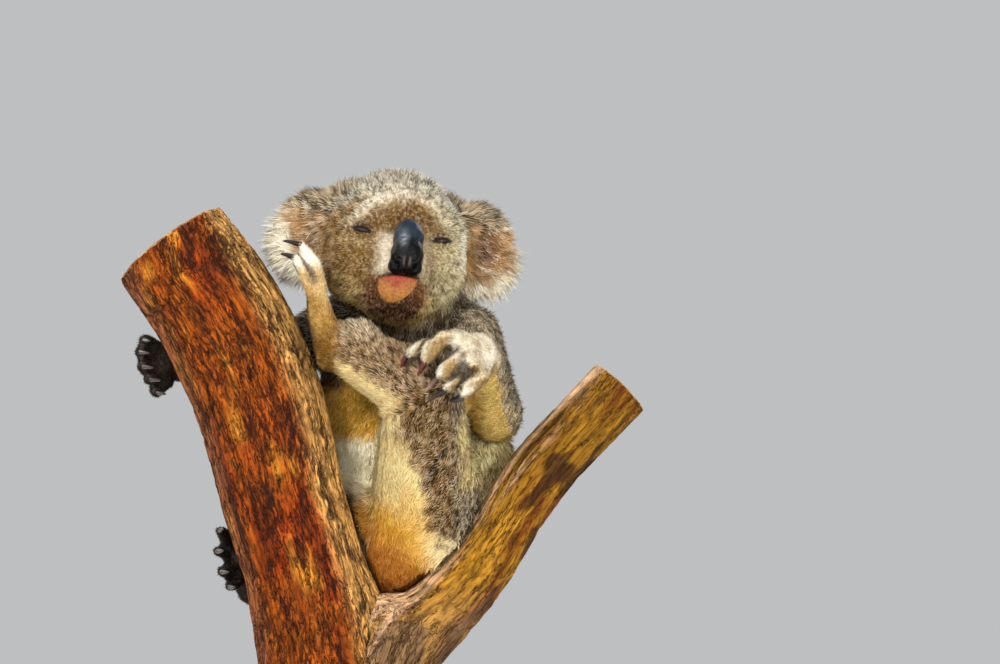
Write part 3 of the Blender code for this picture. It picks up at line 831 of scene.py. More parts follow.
def leftArmLooks(at):
    normals, wander, ripple = at.normals, at.wander, at.ripple
    # the side facing the body and the part under the head are darkened, painted shade
    upper = blend(at.plain * paint["arm"] * 0.9, paint["throat"], 0.6 * ramp(-normals[:, 0], 0.1, 0.6))
    upper = blend(upper, paint["throat"], 0.85 * at.underHead)
    lower = ramp(-normals[:, 2] - 0.35 * normals[:, 0] + 0.25 * wander, 0.0, 0.5)
    atElbow = ramp(100 - at.p[:, 0] + 6 * wander, 0, 16)
    under = blend(at.plain * paint["foreInner"], paint["foreDeep"], atElbow)
    forearm = blend(at.plain * paint["arm"] * 1.1, under, lower)
    groove, out = betweenDigits("hand_left", at.points)
    hand = blend(at.plain * paint["handWhite"], paint["digit"], 0.6 * ramp(wander + 0.5 * ripple, -0.3, 0.3))
    # the hand's side facing down is darker, painted shade
    facingDown = ramp(0.6 * ripple + 0.3 * wander - normals[:, 2], 0.05, 0.5)
    hand = blend(hand, paint["paw"] * 0.8, 0.85 * facingDown)
    hand = blend(hand, paint["arm"], 0.9 * ramp(0.06 - out + 0.10 * ripple, 0, 0.14))
    # the grooves between the digits are painted shade
    hand = blend(hand, paint["pad"], 0.92 * groove)
    hand = blend(hand, paint["pad"], ramp(normals[:, 1], 0.45, 0.75))
    return {
        "upper_arm_left": (upper, 0.85), "forearm_left": (forearm, 0.9 - 0.65 * lower),
        "hand_left": (hand, 0.45),
    }


def rightArmLooks(at):
    # the right arm lies behind the stem: its front, its forearm and its hand are dark, painted shade
    inFront = ramp(-at.normals[:, 1] + 0.2 * at.wander, 0.0, 0.5)
    upper = blend(at.plain * paint["back"], paint["throat"], inFront)
    forearm, hand = at.plain * paint["dark"] * 1.4, at.plain * paint["dark"]
    return {"upper_arm_right": (upper, 0.8), "forearm_right": (forearm, 0.5), "hand_right": (hand, 0.3)}


def markings(points, normals, shares):
    # the colour, with painted shade and light in it, how speckled it is from 0 to 1, and how bare it is from
    # 0 to 1
    at = SimpleNamespace(
        points=points, normals=normals, p=points * 1000, h=inHead(points) * 1000,  # p and h in millimetres
        headNormals=normals @ headTurn, part={name: shares[:, k] for k, name in enumerate(flesh)},
        wander=clouds(points, 0.022, 31, 2), ripple=clouds(points, 0.008, 41, 2),
        plain=np.ones((len(points), 1)), bare=np.zeros(len(points)),
    )
    # painted shade under the head, on the chest and the upper arm
    at.underHead = bell(at.p[:, 0] - 66, 22) * ramp(at.p[:, 2] + 6 * at.wander, 404, 420)
    total, speckle = np.zeros((len(points), 3)), np.zeros(len(points))
    for looksOf in (
        headLooks, earLooks, trunkLooks, leftThighLooks, leftFootLooks, rightLegLooks, leftArmLooks,
        rightArmLooks,
    ):
        for name, (look, spots) in looksOf(at).items():
            total += at.part[name][:, None] * look
            speckle += at.part[name] * spots
    total *= (1 + 0.12 * at.ripple)[:, None]
    return np.clip(total, 0.0, 1), np.clip(speckle, 0, 1), np.clip(at.bare, 0, 1)


print("skin: unwrapping")
selectOnly(skinThing)
mesh.uv_layers.new(name="OFBake")
bpy.ops.object.mode_set(mode="EDIT")
bpy.ops.mesh.select_all(action="SELECT")
bpy.ops.uv.smart_project(angle_limit=math.radians(66), island_margin=0.002)
bpy.ops.object.mode_set(mode="OBJECT")
mesh = skinThing.data
normals = normalsOf(mesh)
colours, speckle, bare = markings(points, normals, shares)
# the skin under the hair is darkened, painted shade beneath the coat; bare skin keeps its colour
putColours(mesh, "markings", colours * (1 - 0.55 * (1 - bare) * (0.4 + 0.6 * speckle))[:, None])
mesh.materials.clear()
mesh.materials.append(skinMaterial)
smoothFaces(mesh)
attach(skinThing, "root")
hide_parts(*flesh)
print("skin: marked and unwrapped")


def makeEye(side):
    centre = middle("eye_" + side)
    forward, outward, upward = eyeAxes(side)
    bpy.ops.mesh.primitive_uv_sphere_add(
        segments=48, ring_count=40, radius=eyeLook["radius"], location=(0, 0, 0)
    )
    ball = bpy.context.object
    ball.name = "eyeball_" + side
    turn = Vector((0, 0, 1)).rotation_difference(Vector(forward))
    ball.matrix_world = Matrix.Translation(centre) @ turn.to_matrix().to_4x4()
    selectOnly(ball)
    bpy.ops.object.transform_apply(location=True, rotation=True, scale=True)
    bpy.ops.object.shade_smooth()
    away = unit(pointsOf(ball.data) - centre)
    off = np.degrees(np.arccos(np.clip(away @ forward, -1, 1)))
    sideways, vertical = np.degrees(away @ outward), np.degrees(away @ upward)
    angle = np.arctan2(sideways, vertical + 1e-6)
    streak = clouds(np.stack([angle * 0.02, off * 0.0001, off * 0], -1), 0.004, 51)
    look = srgb(58, 38, 24) * (1 + 0.4 * streak[:, None])
    look = blend(look, srgb(30, 20, 16), ramp(off, 24, 34))
    look = blend(look, srgb(60, 50, 44), ramp(off, 38, 52))
    pupil = ramp(1 - np.hypot(sideways / 6, vertical / 13), -0.05, 0.15)
    putColours(ball.data, "markings", look * (1 - 0.93 * pupil[:, None]))
    ball.data.materials.append(eyeMaterial)
    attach(ball, "root")
    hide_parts("eye_" + side)


def lidPoints(side, above, rows, columns):
    # a patch of a ball round the eye, from the slit's edge back under the skin
    centre = middle("eye_" + side)
    forward, outward, upward = eyeAxes(side)
    u, v = np.meshgrid(np.linspace(-1, 1, columns), np.linspace(0, 1, rows) ** 1.5, indexing="ij")
    sideways = np.radians(84) * u
    arch = np.clip(1 - (sideways / math.radians(eyeLook["corner"])) ** 2, 0, 1)
    height = eyeLook["upper"] if above else -eyeLook["lower"]
    edge = math.asin(height / 1000 / eyeLook["lidRadius"]) * arch
    vertical = edge + ((1.35 if above else -1.25) - edge) * v
    away = (
        (np.cos(vertical) * np.cos(sideways))[..., None] * forward
        + (np.cos(vertical) * np.sin(sideways))[..., None] * outward
        + np.sin(vertical)[..., None] * upward
    )
    roll = 0.00045 * bell(v - 0.05, 0.06) * np.clip(arch * 3, 0, 1)
    fold = 0.0003 * bell(v - 0.34, 0.05)
    points = centre + away * (eyeLook["lidRadius"] + roll - fold)[..., None]
    return points.reshape(-1, 3), away.reshape(-1, 3), v.ravel(), arch.ravel()


def makeLids(side):
    rows, columns = 18, 40
    i, j = np.meshgrid(np.arange(columns - 1), np.arange(rows - 1), indexing="ij")
    a = (i * rows + j).ravel()
    grid = np.stack([a, a + 1, a + rows + 1, a + rows], -1)
    pieces, look, spots = [], [], []
    for above in (True, False):
        points, away, v, arch = lidPoints(side, above, rows, columns)
        along, across = points[grid[0, 1]] - points[grid[0, 0]], points[grid[0, 3]] - points[grid[0, 0]]
        facesIn = np.cross(along, across) @ away[0] < 0
        pieces.append((points, grid[:, ::-1] if facesIn else grid))
        rim = ramp(eyeLook["rim"] - v, -0.04, 0.06) * np.clip(arch * 6 + 0.5, 0, 1)
        look.append(blend(np.tile(paint["forehead"] * 0.7, (len(points), 1)), paint["rim"] * 0.7, rim))
        place = (np.arange(len(points)) // rows) / (columns - 1)
        spots.append(np.stack([place * 0.96 + 0.02, 0.02 + 0.47 * v + (0.5 if above else 0)], -1))
    points, faces = joined(pieces)
    lids = meshFrom("eyelids_" + side, points, faces)
    putColours(lids.data, "markings", np.concatenate(look))
    putUnwrap(lids.data, np.concatenate(spots), faces)
    shell = lids.modifiers.new("thickness", "SOLIDIFY")
    shell.thickness = 0.0006
    shell.offset = -1
    applyAll(lids)
    lids.data.materials.append(skinMaterial)
    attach(lids, "root")


eyeMaterial = hornMaterial("eyeGloss", eyeLook)
for side in sides:
    makeEye(side)
    makeLids(side)
print("eyes: two, with their lids")

# the nose: leathery, with two nostrils; places and depths in millimetres in the head's axes
noseLook = {
    "cell": 0.0008, "middle": 3.2, "nostrilDeep": 4.6, "nostrilOut": 8.6, "nostrilUp": -34.5, "wing": 0.7,
    "groove": 0.7, "creases": 950.0, "mottle": 0.35, "bump": 0.35, "bumpDepth": 0.0003, "roughness": 0.28,
    "specular": 0.1,
}


def shapeNose(points, normals):
    # presses in the nostrils and the groove between them, and says how deep each point is pressed
    p = inHead(points) * 1000
    x, z = p[:, 0] - noseLook["middle"], p[:, 2]
    front = ramp(-p[:, 1], 66, 72)
    push = np.zeros(len(p))
    for s in (-1, 1):
        a, b = s * x - noseLook["nostrilOut"], z - noseLook["nostrilUp"]
        # a comma: a round hole with a slit that climbs outwards
        hole = bell(np.hypot(a / 2.3, b / 3.0))
        slit = bell(a - 0.22 * b - 1.6, 1.1) * ramp(b, -1, 2) * ramp(11 - b, 0, 5)
        push -= noseLook["nostrilDeep"] * np.clip(hole + 0.55 * slit, 0, 1) * front
        push += noseLook["wing"] * bell(np.hypot(a / 4.6, b / 6.0) - 1, 0.28) * front
    push -= noseLook["groove"] * bell(x, 0.7) * ramp(-38 - z, 0, 4)
    push += 0.07 * clouds(points, 0.0024, 61, 2)
    return points + normals * push[:, None] / 1000, push


def makeNose():
    nose = meshFrom("leatherNose", *merged("nose"))
    remeshed(nose, noseLook["cell"])
    points, edges = pointsOf(nose.data), edgesOf(nose.data)
    points = smoothed(points, edges, np.ones(len(points)), 60)
    # narrower above, most of all on the animal's right
    p = inHead(points) * 1000
    x = p[:, 0] - noseLook["middle"]
    slim = np.zeros((len(p), 3))
    slim[:, 0] = -x * np.where(x < 0, 0.16, 0.04) * ramp(p[:, 2], -34, -14) / 1000
    points = points + slim @ headTurn.T
    putPoints(nose.data, points)
    normals = normalsOf(nose.data)
    points = points + normals * 0.0007
    p = inHead(points) * 1000
    x, z = p[:, 0] - noseLook["middle"], p[:, 2]
    points, push = shapeNose(points, normals)
    putPoints(nose.data, points)
    # black below; the upper part is painted a lighter bluish grey, a painted sheen, with a painted highlight
    # at its upper left
    look = blend(np.tile(srgb(3, 3, 4), (len(p), 1)), srgb(36, 46, 60), ramp(z, -14, 0) * 0.8)
    paintedHighlight = 0.6 * bell(np.hypot((x + 4.5) / 3.4, (z + 9) / 7)) * (0.7 + 0.5 * clouds(points, 0.002, 66))
    look = blend(look, srgb(160, 168, 178), paintedHighlight)
    # a pinkish grey patch between the nostrils
    pinkishBetweenNostrils = bell(np.abs(x) - 2.6, 0.9) * ramp(-24 - z, 0, 4) * ramp(z, -36, -31) * 0.45
    look = blend(look, srgb(120, 100, 98), pinkishBetweenNostrils)
    # the pressed-in nostrils and groove are darkened by their depth, painted shade
    putColours(nose.data, "markings", look * (1 - 0.8 * np.clip(-push / 2.6, 0, 1))[:, None])
    return nose


def leatherMaterial(name, look):
    # small cells with creases between them, over the piece's own markings
    material, tree, shader = newMaterial(name)
    place = addNode(tree, "TexCoord", {})["Object"]
    sockets = {"Vector": place, "Scale": look["creases"]}
    cells = addNode(tree, "TexVoronoi", sockets, feature="DISTANCE_TO_EDGE")["Distance"]
    raised = mapped(tree, cells, 0.0, 0.25)
    feed(tree, shader, {
        "Base Color": mixed(tree, look["mottle"], attribute(tree, "markings"), raised, "MULTIPLY"),
        "Normal": bumped(tree, raised, look["bump"], look["bumpDepth"]),
        "Roughness": look["roughness"], "Specular IOR Level": look["specular"],
    })
    return material


nose = makeNose()
nose.data.materials.append(leatherMaterial("noseLeather", noseLook))
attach(nose, "root")
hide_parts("nose")
print("nose: made,", len(nose.data.polygons), "faces")

# claws: dark curved horn, and paler at the tips of those on the left hand
clawLook = {
    "noiseScale": 700, "mottle": 0.5, "bump": 0.25, "bumpDepth": 0.0002, "roughness": 0.34, "specular": 0.35,
    "base": srgb(62, 44, 38), "horn": srgb(26, 20, 21), "tip": srgb(96, 78, 68), "tipBack": 0.0012,
}
clawTips = {
    "hand_left_1": srgb(112, 40, 34), "hand_left_2": srgb(122, 52, 42), "hand_left_3": srgb(190, 146, 128),
}
clawMaterial = hornMaterial("clawHorn", clawLook)


def makeClaw(name):
    corners, faces = merged(name)
    title = name.replace("claw_", "")
    root = middle(title.rsplit("_", 1)[0])
    far = np.linalg.norm(corners - root, axis=1)
    claw = meshFrom("horn_" + title, corners, faces)
    rounding = claw.modifiers.new("round", "SUBSURF")
    rounding.levels = rounding.render_levels = 2
    applyAll(claw)
    points = pointsOf(claw.data)
    along = (np.linalg.norm(points - root, axis=1) - far.min()) / (far.max() - far.min())
    tipOut = unit(corners[far.argmax()] - corners[far.argmin()])
    # subdividing pulls the tip back, so it's moved out again
    points += tipOut * (ramp(along, 0.55, 0.95) * clawLook["tipBack"])[:, None]
    putPoints(claw.data, points)
    look = blend(clawLook["base"], clawLook["horn"], ramp(along, 0.15, 0.4))
    strength = 0.85 if title in clawTips else 0.5
    look = blend(look, clawTips.get(title, clawLook["tip"]), strength * ramp(along, 0.35, 0.95))
    putColours(claw.data, "markings", look)
    smoothFaces(claw.data)
    claw.data.materials.append(clawMaterial)
    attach(claw, "root")
    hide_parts(name)


for name in clawNames:
    makeClaw(name)
print("claws: eighteen")

# what the coat keeps clear of
perchSurface = surfaceOf(*joined([merged("perch_stem"), merged("perch_branch")]))
noseSurface = surfaceOf(*merged("nose"))
clawSurface = surfaceOf(*joined([merged(name) for name in clawNames]))


def clawsOf(name):
    return np.mean([middle(n) for n in clawNames if n.startswith("claw_" + name)], axis=0)


# which way the hair lies on each part
lie = {"neck": (0.1, -0.3, -1), "torso": (0.0, -0.1, -1)}
for side in sides:
    for part, onward in (("upper_arm", "forearm"), ("forearm", "hand"), ("thigh", "shin"), ("shin", "foot")):
        lie[f"{part}_{side}"] = middle(f"{onward}_{side}") - middle(f"{part}_{side}")
for paw in pawNames:
    lie[paw] = clawsOf(paw) - middle(paw)
lie["thigh_left"] = (-0.15, -0.5, -0.4)
lieTable = np.array([unit(np.array(lie.get(name, (0, 0, 0)), float)) for name in flesh])


def flowAt(points, normals, shares):
    flow = shares @ lieTable
    h = inHead(points)
    fromNose = unit(h - placeInHead("nose") - np.array([0, 0, 0.012])) @ headTurn.T
    flow += shares[:, flesh.index("head")][:, None] * fromNose
    for side, s in (("left", 1), ("right", -1)):
        base = placeInHead("ear_" + side) + np.array([-s * 0.020, 0, 0.010])
        out = unit((h - base) * np.array([1, 0.35, 0.9]) + np.array([s * 0.008, 0, -0.008])) @ headTurn.T
        flow += shares[:, flesh.index("ear_" + side)][:, None] * out
    wander = np.stack([clouds(points, 0.02, 70 + k, 2) for k in range(3)], -1)
    flow = unit(flow) + 0.35 * wander
    flow -= normals * (flow * normals).sum(1)[:, None]
    return unit(flow)


# lengths and widths in metres, lift in degrees off the skin, tufts for each square centimetre
coat = {
    "head": {"long": 0.0066, "wide": 0.00084, "lift": 27, "thick": 42},
    "ear": {"long": 0.0092, "wide": 0.00084, "lift": 30, "thick": 46},
    "neck": {"long": 0.0088, "wide": 0.00115, "lift": 30, "thick": 24},
    "torso": {"long": 0.0088, "wide": 0.00128, "lift": 30, "thick": 21},
    "upper_arm": {"long": 0.0076, "wide": 0.00106, "lift": 30, "thick": 27},
    "forearm": {"long": 0.0070, "wide": 0.00104, "lift": 28, "thick": 33},
    "hand": {"long": 0.0040, "wide": 0.00072, "lift": 27, "thick": 74},
    "thigh": {"long": 0.0070, "wide": 0.00106, "lift": 30, "thick": 32},
    "shin": {"long": 0.0062, "wide": 0.00094, "lift": 30, "thick": 38},
    "foot": {"long": 0.0038, "wide": 0.00072, "lift": 27, "thick": 74},
}
coatPieces = {
    "face_coat": ["head"], "ear_coat_left": ["ear_left"], "ear_coat_right": ["ear_right"],
    "body_coat": ["neck", "torso"], "arm_coat_left": ["upper_arm_left", "forearm_left"],
    "arm_coat_right": ["upper_arm_right", "forearm_right"], "hand_coats": pawNames,
    "thigh_coat_left": ["thigh_left"], "shin_coat_left": ["shin_left"],
    "leg_coat_right": ["thigh_right", "shin_right"],
}
# root is how dark a tuft is at its root, painted shade deep in the coat; tip is how pale it is at its tip
coatFan = {"spikes": 3, "turn": 0.26, "loose": 0.14, "root": 0.42, "tip": 1.28, "bend": 0.12, "sink": 0.14}
# grizzled hair: the share of dark tufts, where the pale ones start, and how far each differs
grizzle = {
    "dark": 0.38, "pale": 0.66, "darker": 0.82, "paler": 0.55, "greyer": 0.25, "grey": srgb(232, 220, 196),
}
mostTriangles = 198000  # in one piece of the coat


def fromTable(shares, key):
    return shares @ np.array([coat[kindOf(name)][key] for name in flesh])


def skinTriangles():
    mesh = skinThing.data
    mesh.calc_loop_triangles()
    corners = readAll(mesh.loop_triangles, "vertices", 3, np.int32)
    loops = readAll(mesh.loop_triangles, "loops", 3, np.int32)
    return corners, readAll(mesh.uv_layers["OFBake"].data, "uv", 2)[loops]


def scatterRoots():
    # roots spread evenly over the skin, closer where the coat is finer
    mesh = skinThing.data
    points, normals = pointsOf(mesh), normalsOf(mesh)
    corners, uv = skinTriangles()
    a, b, c = (points[corners[:, k]] for k in range(3))
    area = 0.5 * np.linalg.norm(np.cross(b - a, c - a), axis=1)
    thick = fromTable(shares, "thick")[corners].mean(1) * (1 - 0.97 * bare[corners].mean(1))
    front = inHead((a + b + c) / 3)
    thick *= 1 + 0.7 * ramp(-front[:, 1], 0.02, 0.05) * shares[corners[:, 0], flesh.index("head")]
    total = np.cumsum(area * 1e4 * thick * (1))
    count = int(total[-1])
    spots = (np.arange(count) + rng.random(count)) / count * total[-1]
    which = np.minimum(np.searchsorted(total, spots), len(total) - 1)
    u, v = rng.random(count), rng.random(count)
    over = u + v > 1
    u, v = np.where(over, 1 - u, u), np.where(over, 1 - v, v)
    w = np.stack([1 - u - v, u, v], -1)[:, :, None]
    chosen = corners[which]
    return {
        "root": (points[chosen] * w).sum(1), "normal": unit((normals[chosen] * w).sum(1)),
        "share": (shares[chosen] * w).sum(1), "uv": (uv[which] * w).sum(1),
    }


def lidRoots():
    # roots on the lids, behind their bare rims; each takes its place on the unwrap from the skin behind it
    _, uv = skinTriangles()
    spots, ways, places = [], [], []
    for side in sides:
        for above in (True, False):
            points, away, v, _ = lidPoints(side, above, 46, 60)
            chosen = np.nonzero((v > eyeLook["rim"] + 0.03) & (rng.random(len(v)) < 0.42))[0]
            for i in chosen:
                spot, normal, k, _ = skinSurface.find_nearest(points[i].tolist())
                if (points[i] - np.array(spot)) @ np.array(normal) > -0.0004:
                    spots.append(points[i] + rng.normal(0, 0.00015, 3))
                    ways.append(away[i])
                    places.append(uv[k].mean(0))
    head = np.zeros((len(spots), len(flesh)))
    head[:, flesh.index("head")] = 1
    return {"root": np.array(spots), "normal": np.array(ways), "share": head, "uv": np.array(places)}


def turned(vectors, axes, angles):
    # each vector turned about its axis
    c, s = np.cos(angles)[:, None], np.sin(angles)[:, None]
    along = (vectors * axes).sum(1)[:, None]
    return vectors * c + np.cross(axes, vectors) * s + axes * along * (1 - c)


def growTufts(roots, normals, shares):
    # which way each tuft lies, and its length, width and lift
    count = len(roots)
    flow = turned(flowAt(roots, normals, shares), normals, rng.normal(0, 0.22, count))
    long = fromTable(shares, "long") * (0.72 + 0.56 * rng.random(count))
    wide = fromTable(shares, "wide") * (0.8 + 0.4 * rng.random(count))
    lift = np.radians(fromTable(shares, "lift")) * (0.7 + 0.6 * rng.random(count))
    h = inHead(roots) * 1000
    onHead = shares[:, flesh.index("head")]
    # short on the muzzle and round the eyes, longer on the crown
    front = ramp(-h[:, 1], 26, 56)
    long *= 1 - onHead * (0.55 * front)
    wide *= 1 - onHead * (0.28 * front)
    long *= 1 + onHead * 0.3 * ramp(h[:, 2], 30, 60)
    lift *= 1 + onHead * 0.15 * front
    for side in sides:
        e = placeInHead("eye_" + side) * 1000
        near = np.hypot((h[:, 0] - e[0]) / 1.3, h[:, 2] - e[2])
        long *= 1 - onHead * 0.35 * ramp(15 - near, 0, 5) * ramp(-h[:, 1], 30, 40)
    for side in sides:
        out, up = earPlace(side, h)
        mine = shares[:, flesh.index("ear_" + side)]
        rim = ramp(np.hypot(out / 30, up / 40), 0.66, 0.95)
        long *= 1 + mine * rim * 0.75 * ramp(22 - up, 0, 26)
        lift *= 1 + 0.25 * mine * rim
    return {"flow": flow, "long": long, "wide": wide, "lift": lift}


def grizzled(roots, colours, speckle):
    # dark and pale tufts, in small clumps
    clumps = clouds(roots, 0.0011, 90) + 0.35 * clouds(roots, 0.0006, 95)
    dice = clumps + 0.25 * (rng.random(len(roots)) - 0.5)
    darkCut, paleCut = np.quantile(dice, [grizzle["dark"], grizzle["pale"]])
    pale = dice > paleCut
    brighter = np.where(pale, 1 + grizzle["paler"] * speckle, 1.0)
    colours = colours * np.where(dice < darkCut, 1 - grizzle["darker"] * speckle, brighter)[:, None]
    return blend(colours, grizzle["grey"], pale * speckle * grizzle["greyer"])


def clearOfOthers(tufts, directions, surface, keep):
    # shortens a tuft that would run into something
    for i, direction in enumerate(directions):
        start = tufts["root"][i] + tufts["normal"][i] * 0.0008
        hit = surface.ray_cast(start.tolist(), direction.tolist(), tufts["long"][i])
        if hit[0] is not None:
            tufts["long"][i] = max(hit[3] * keep, 0)


def inside(surface, points, reach):
    out = np.zeros(len(points), bool)
    for i, p in enumerate(points):
        spot, normal, _, _ = surface.find_nearest(p.tolist(), reach)
        if spot is not None:
            out[i] = (Vector(p) - spot).dot(normal) < 0.0004
    return out


def inSlit(points):
    # over the open part of an eye
    over = np.zeros(len(points), bool)
    for side in sides:
        forward, outward, upward = eyeAxes(side)
        away = (points - middle("eye_" + side)) * 1000
        near = np.hypot(away @ outward / 8.4, away @ upward / 2.7) < 1
        over |= near & (away @ forward > 2) & (np.linalg.norm(away, axis=1) < 16)
    return over


def chosenOf(tufts, keep):
    return {key: values[keep] for key, values in tufts.items()}


def growCoat():
    # every tuft's root and shape, without those that would stand in the perch, the nose or an eye
    onSkin, onLids = scatterRoots(), lidRoots()
    tufts = {key: np.concatenate([onSkin[key], onLids[key]]) for key in onSkin}
    tufts["isLid"] = isLid = np.arange(len(tufts["root"])) >= len(onSkin["root"])
    print("coat:", len(isLid), "tufts to grow")
    roots, normals = tufts["root"], tufts["normal"]
    colours, tufts["speckle"], _ = markings(roots, normals, tufts["share"])
    tufts.update(growTufts(roots, normals, tufts["share"]))
    tufts["colour"] = grizzled(roots, colours, tufts["speckle"])
    tufts["long"] = np.where(isLid, 0.0020 + 0.0010 * rng.random(len(isLid)), tufts["long"])
    tufts["wide"] = np.where(isLid, 0.0006, tufts["wide"])
    tufts["lift"] = lift = np.where(isLid, tufts["lift"] * 0.6, tufts["lift"])
    directions = unit(tufts["flow"] * np.cos(lift)[:, None] + normals * np.sin(lift)[:, None])
    buried = inside(perchSurface, roots + normals * 0.0015, 0.03)
    nearNose = inside(noseSurface, roots + normals * 0.001, 0.02)
    overEye = inSlit(roots) | inSlit(roots + directions * tufts["long"][:, None])
    keep = ~(buried | nearNose | overEye)
    tufts, directions = chosenOf(tufts, keep), directions[keep]
    for surface, share in ((skinSurface, 0.85), (perchSurface, 0.95), (noseSurface, 0.9), (clawSurface, 0.8)):
        clearOfOthers(tufts, directions, surface, share)
    tufts = chosenOf(tufts, (tufts["long"] > 0.0018) | (tufts["isLid"] & (tufts["long"] > 0.001)))
    tufts["wide"] = tufts["wide"] * np.clip(tufts["long"] / 0.006, 0.6, 1)
    return tufts


def tuftMesh(name, tufts, fan):
    # each tuft is a few thin closed spikes that spread from one root
    roots, normals, flow, long, wide = (tufts[key] for key in ("root", "normal", "flow", "long", "wide"))
    speckle, count, spikes = tufts["speckle"], len(tufts["root"]), fan["spikes"]
    across = np.cross(normals, flow)
    sunk = normals * (fan["sink"] * np.minimum(long, 0.0045))[:, None]
    half = (wide * 0.5)[:, None]
    spotSteps = 0.0030 * np.array(((-0.5, -0.45), (0.5, -0.45), (0, 0.5), (0, -0.1)))
    points, colours, soft, spots = [], [], [], []
    for k in range(spikes):
        step = k - (spikes - 1) / 2
        angle = step * fan["turn"] + rng.normal(0, fan["loose"], count)
        rise = tufts["lift"] * (0.65 + 0.7 * rng.random(count))
        along = turned(flow, normals, angle)
        up = along * np.cos(rise)[:, None] + normals * np.sin(rise)[:, None]
        beside = np.cross(normals, along)
        over = np.cross(up, beside)
        length = long * (0.65 + 0.55 * rng.random(count))
        loose = along * (wide * rng.normal(0, 0.5, count))[:, None]
        foot = roots + across * (wide * step * 0.75)[:, None] - sunk + loose
        tip = foot + unit(up - normals * fan["bend"]) * length[:, None]
        corners = (foot - beside * half, foot + beside * half, foot + over * half * 0.9, tip)
        points.append(np.stack(corners, 1))
        colour = tufts["colour"] * (1 + (0.3 + 0.5 * speckle) * (rng.random(count) - 0.5))[:, None]
        # the root corners are darker, painted shade deep in the coat
        dark = colour * (fan["root"] + 0.26 * (1 - speckle))[:, None]
        colours.append(np.stack([dark, dark, dark, colour * fan["tip"]], 1))
        low = (normals - beside * 0.55, normals + beside * 0.55, normals + over * 0.5)
        soft.append(np.stack([unit(n) for n in (*low, normals * 0.9 + up * 0.35)], 1))
        spots.append(tufts["uv"][:, None, :] + spotSteps[None])
    pattern = np.array([[0, 2, 1], [0, 1, 3], [1, 2, 3], [2, 0, 3]])
    faces = (np.arange(count * spikes)[:, None, None] * 4 + pattern[None]).reshape(-1, 3)
    thing = meshFrom(name, np.concatenate(points).reshape(-1, 3), faces)
    putColours(thing.data, "markings", np.concatenate(colours).reshape(-1, 3))
    putUnwrap(thing.data, np.concatenate(spots).reshape(-1, 2), faces)
    softNormals = np.concatenate(soft).reshape(-1, 3).astype(np.float32)
    thing.data.normals_split_custom_set_from_vertices(softNormals)
    thing.data.materials.append(furMaterial)
    return thing


skinSurface = surfaceOf(pointsOf(skinThing.data), skinTriangles()[0])
tufts = growCoat()
owner = tufts["share"].argmax(1)
most = mostTriangles // (4 * coatFan["spikes"])
pieceCount, triangleCount = 0, 0
for title, parts in coatPieces.items():
    mine = np.nonzero(np.isin(owner, [flesh.index(part) for part in parts]))[0]
    mine = mine[np.argsort(tufts["root"][mine, 2], kind="stable")]
    for k, group in enumerate(np.array_split(mine, max(1, math.ceil(len(mine) / most)))):
        piece = chosenOf(tufts, group)
        low, high = piece["uv"].min(0), piece["uv"].max(0)
        piece["uv"] = 0.01 + 0.98 * (piece["uv"] - low) / np.maximum(high - low, 1e-6)
        thing = tuftMesh(title if len(mine) <= most else f"{title}_{k + 1}", piece, coatFan)
        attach(thing, "root")
        pieceCount += 1
        triangleCount += len(thing.data.polygons)
print("coat: grown,", len(owner), "tufts in", pieceCount, "pieces,", triangleCount, "triangles")

# bark: plates and cracks that follow each limb; lengths in metres
barkLook = {
    "stem": {
        "cell": 0.0020, "across": 0.0090, "along": 0.040, "deep": 0.0024, "fineAcross": 0.0052,
        "fineAlong": 0.024, "crack": srgb(30, 14, 8), "crackWide": 1.0, "dim": 0.85, "bright": 1.15,
        "bump": 0.0012, "grain": 0.9,
    },
    "branch": {
        "cell": 0.0017, "across": 0.0110, "along": 0.070, "deep": 0.0016, "fineAcross": 0.0048,
        "fineAlong": 0.040, "crack": srgb(44, 22, 10), "crackWide": 0.5, "dim": 0.88, "bright": 1.12,
        "bump": 0.0008, "grain": 0.6,
    },
}
fork = {"place": (0.002, -0.036, 0.172), "reach": (0.022, 0.03, 0.022), "swell": 0.0055}
sawnWood = {"pale": srgb(206, 168, 122), "dark": srgb(168, 124, 82), "rings": 55.0}


def limbPlaces(points):
    # each point's place along the limb, and its offset from the limb's middle line
    low, high = points.min(0), points.max(0)
    top = points[points[:, 2] > high[2] - 0.05].mean(0)
    foot = points[points[:, 2] < low[2] + 0.02].mean(0)
    run = top - foot
    length = np.linalg.norm(run)
    run = run / length
    t = (points - foot) @ run
    bins = np.linspace(0, length, 14)
    middles = np.array([points[np.abs(t - b) < 0.03].mean(0) for b in bins])
    off = points - np.stack([np.interp(t, bins, middles[:, k]) for k in range(3)], -1)
    off -= (off @ run)[:, None] * run
    return t, off, run


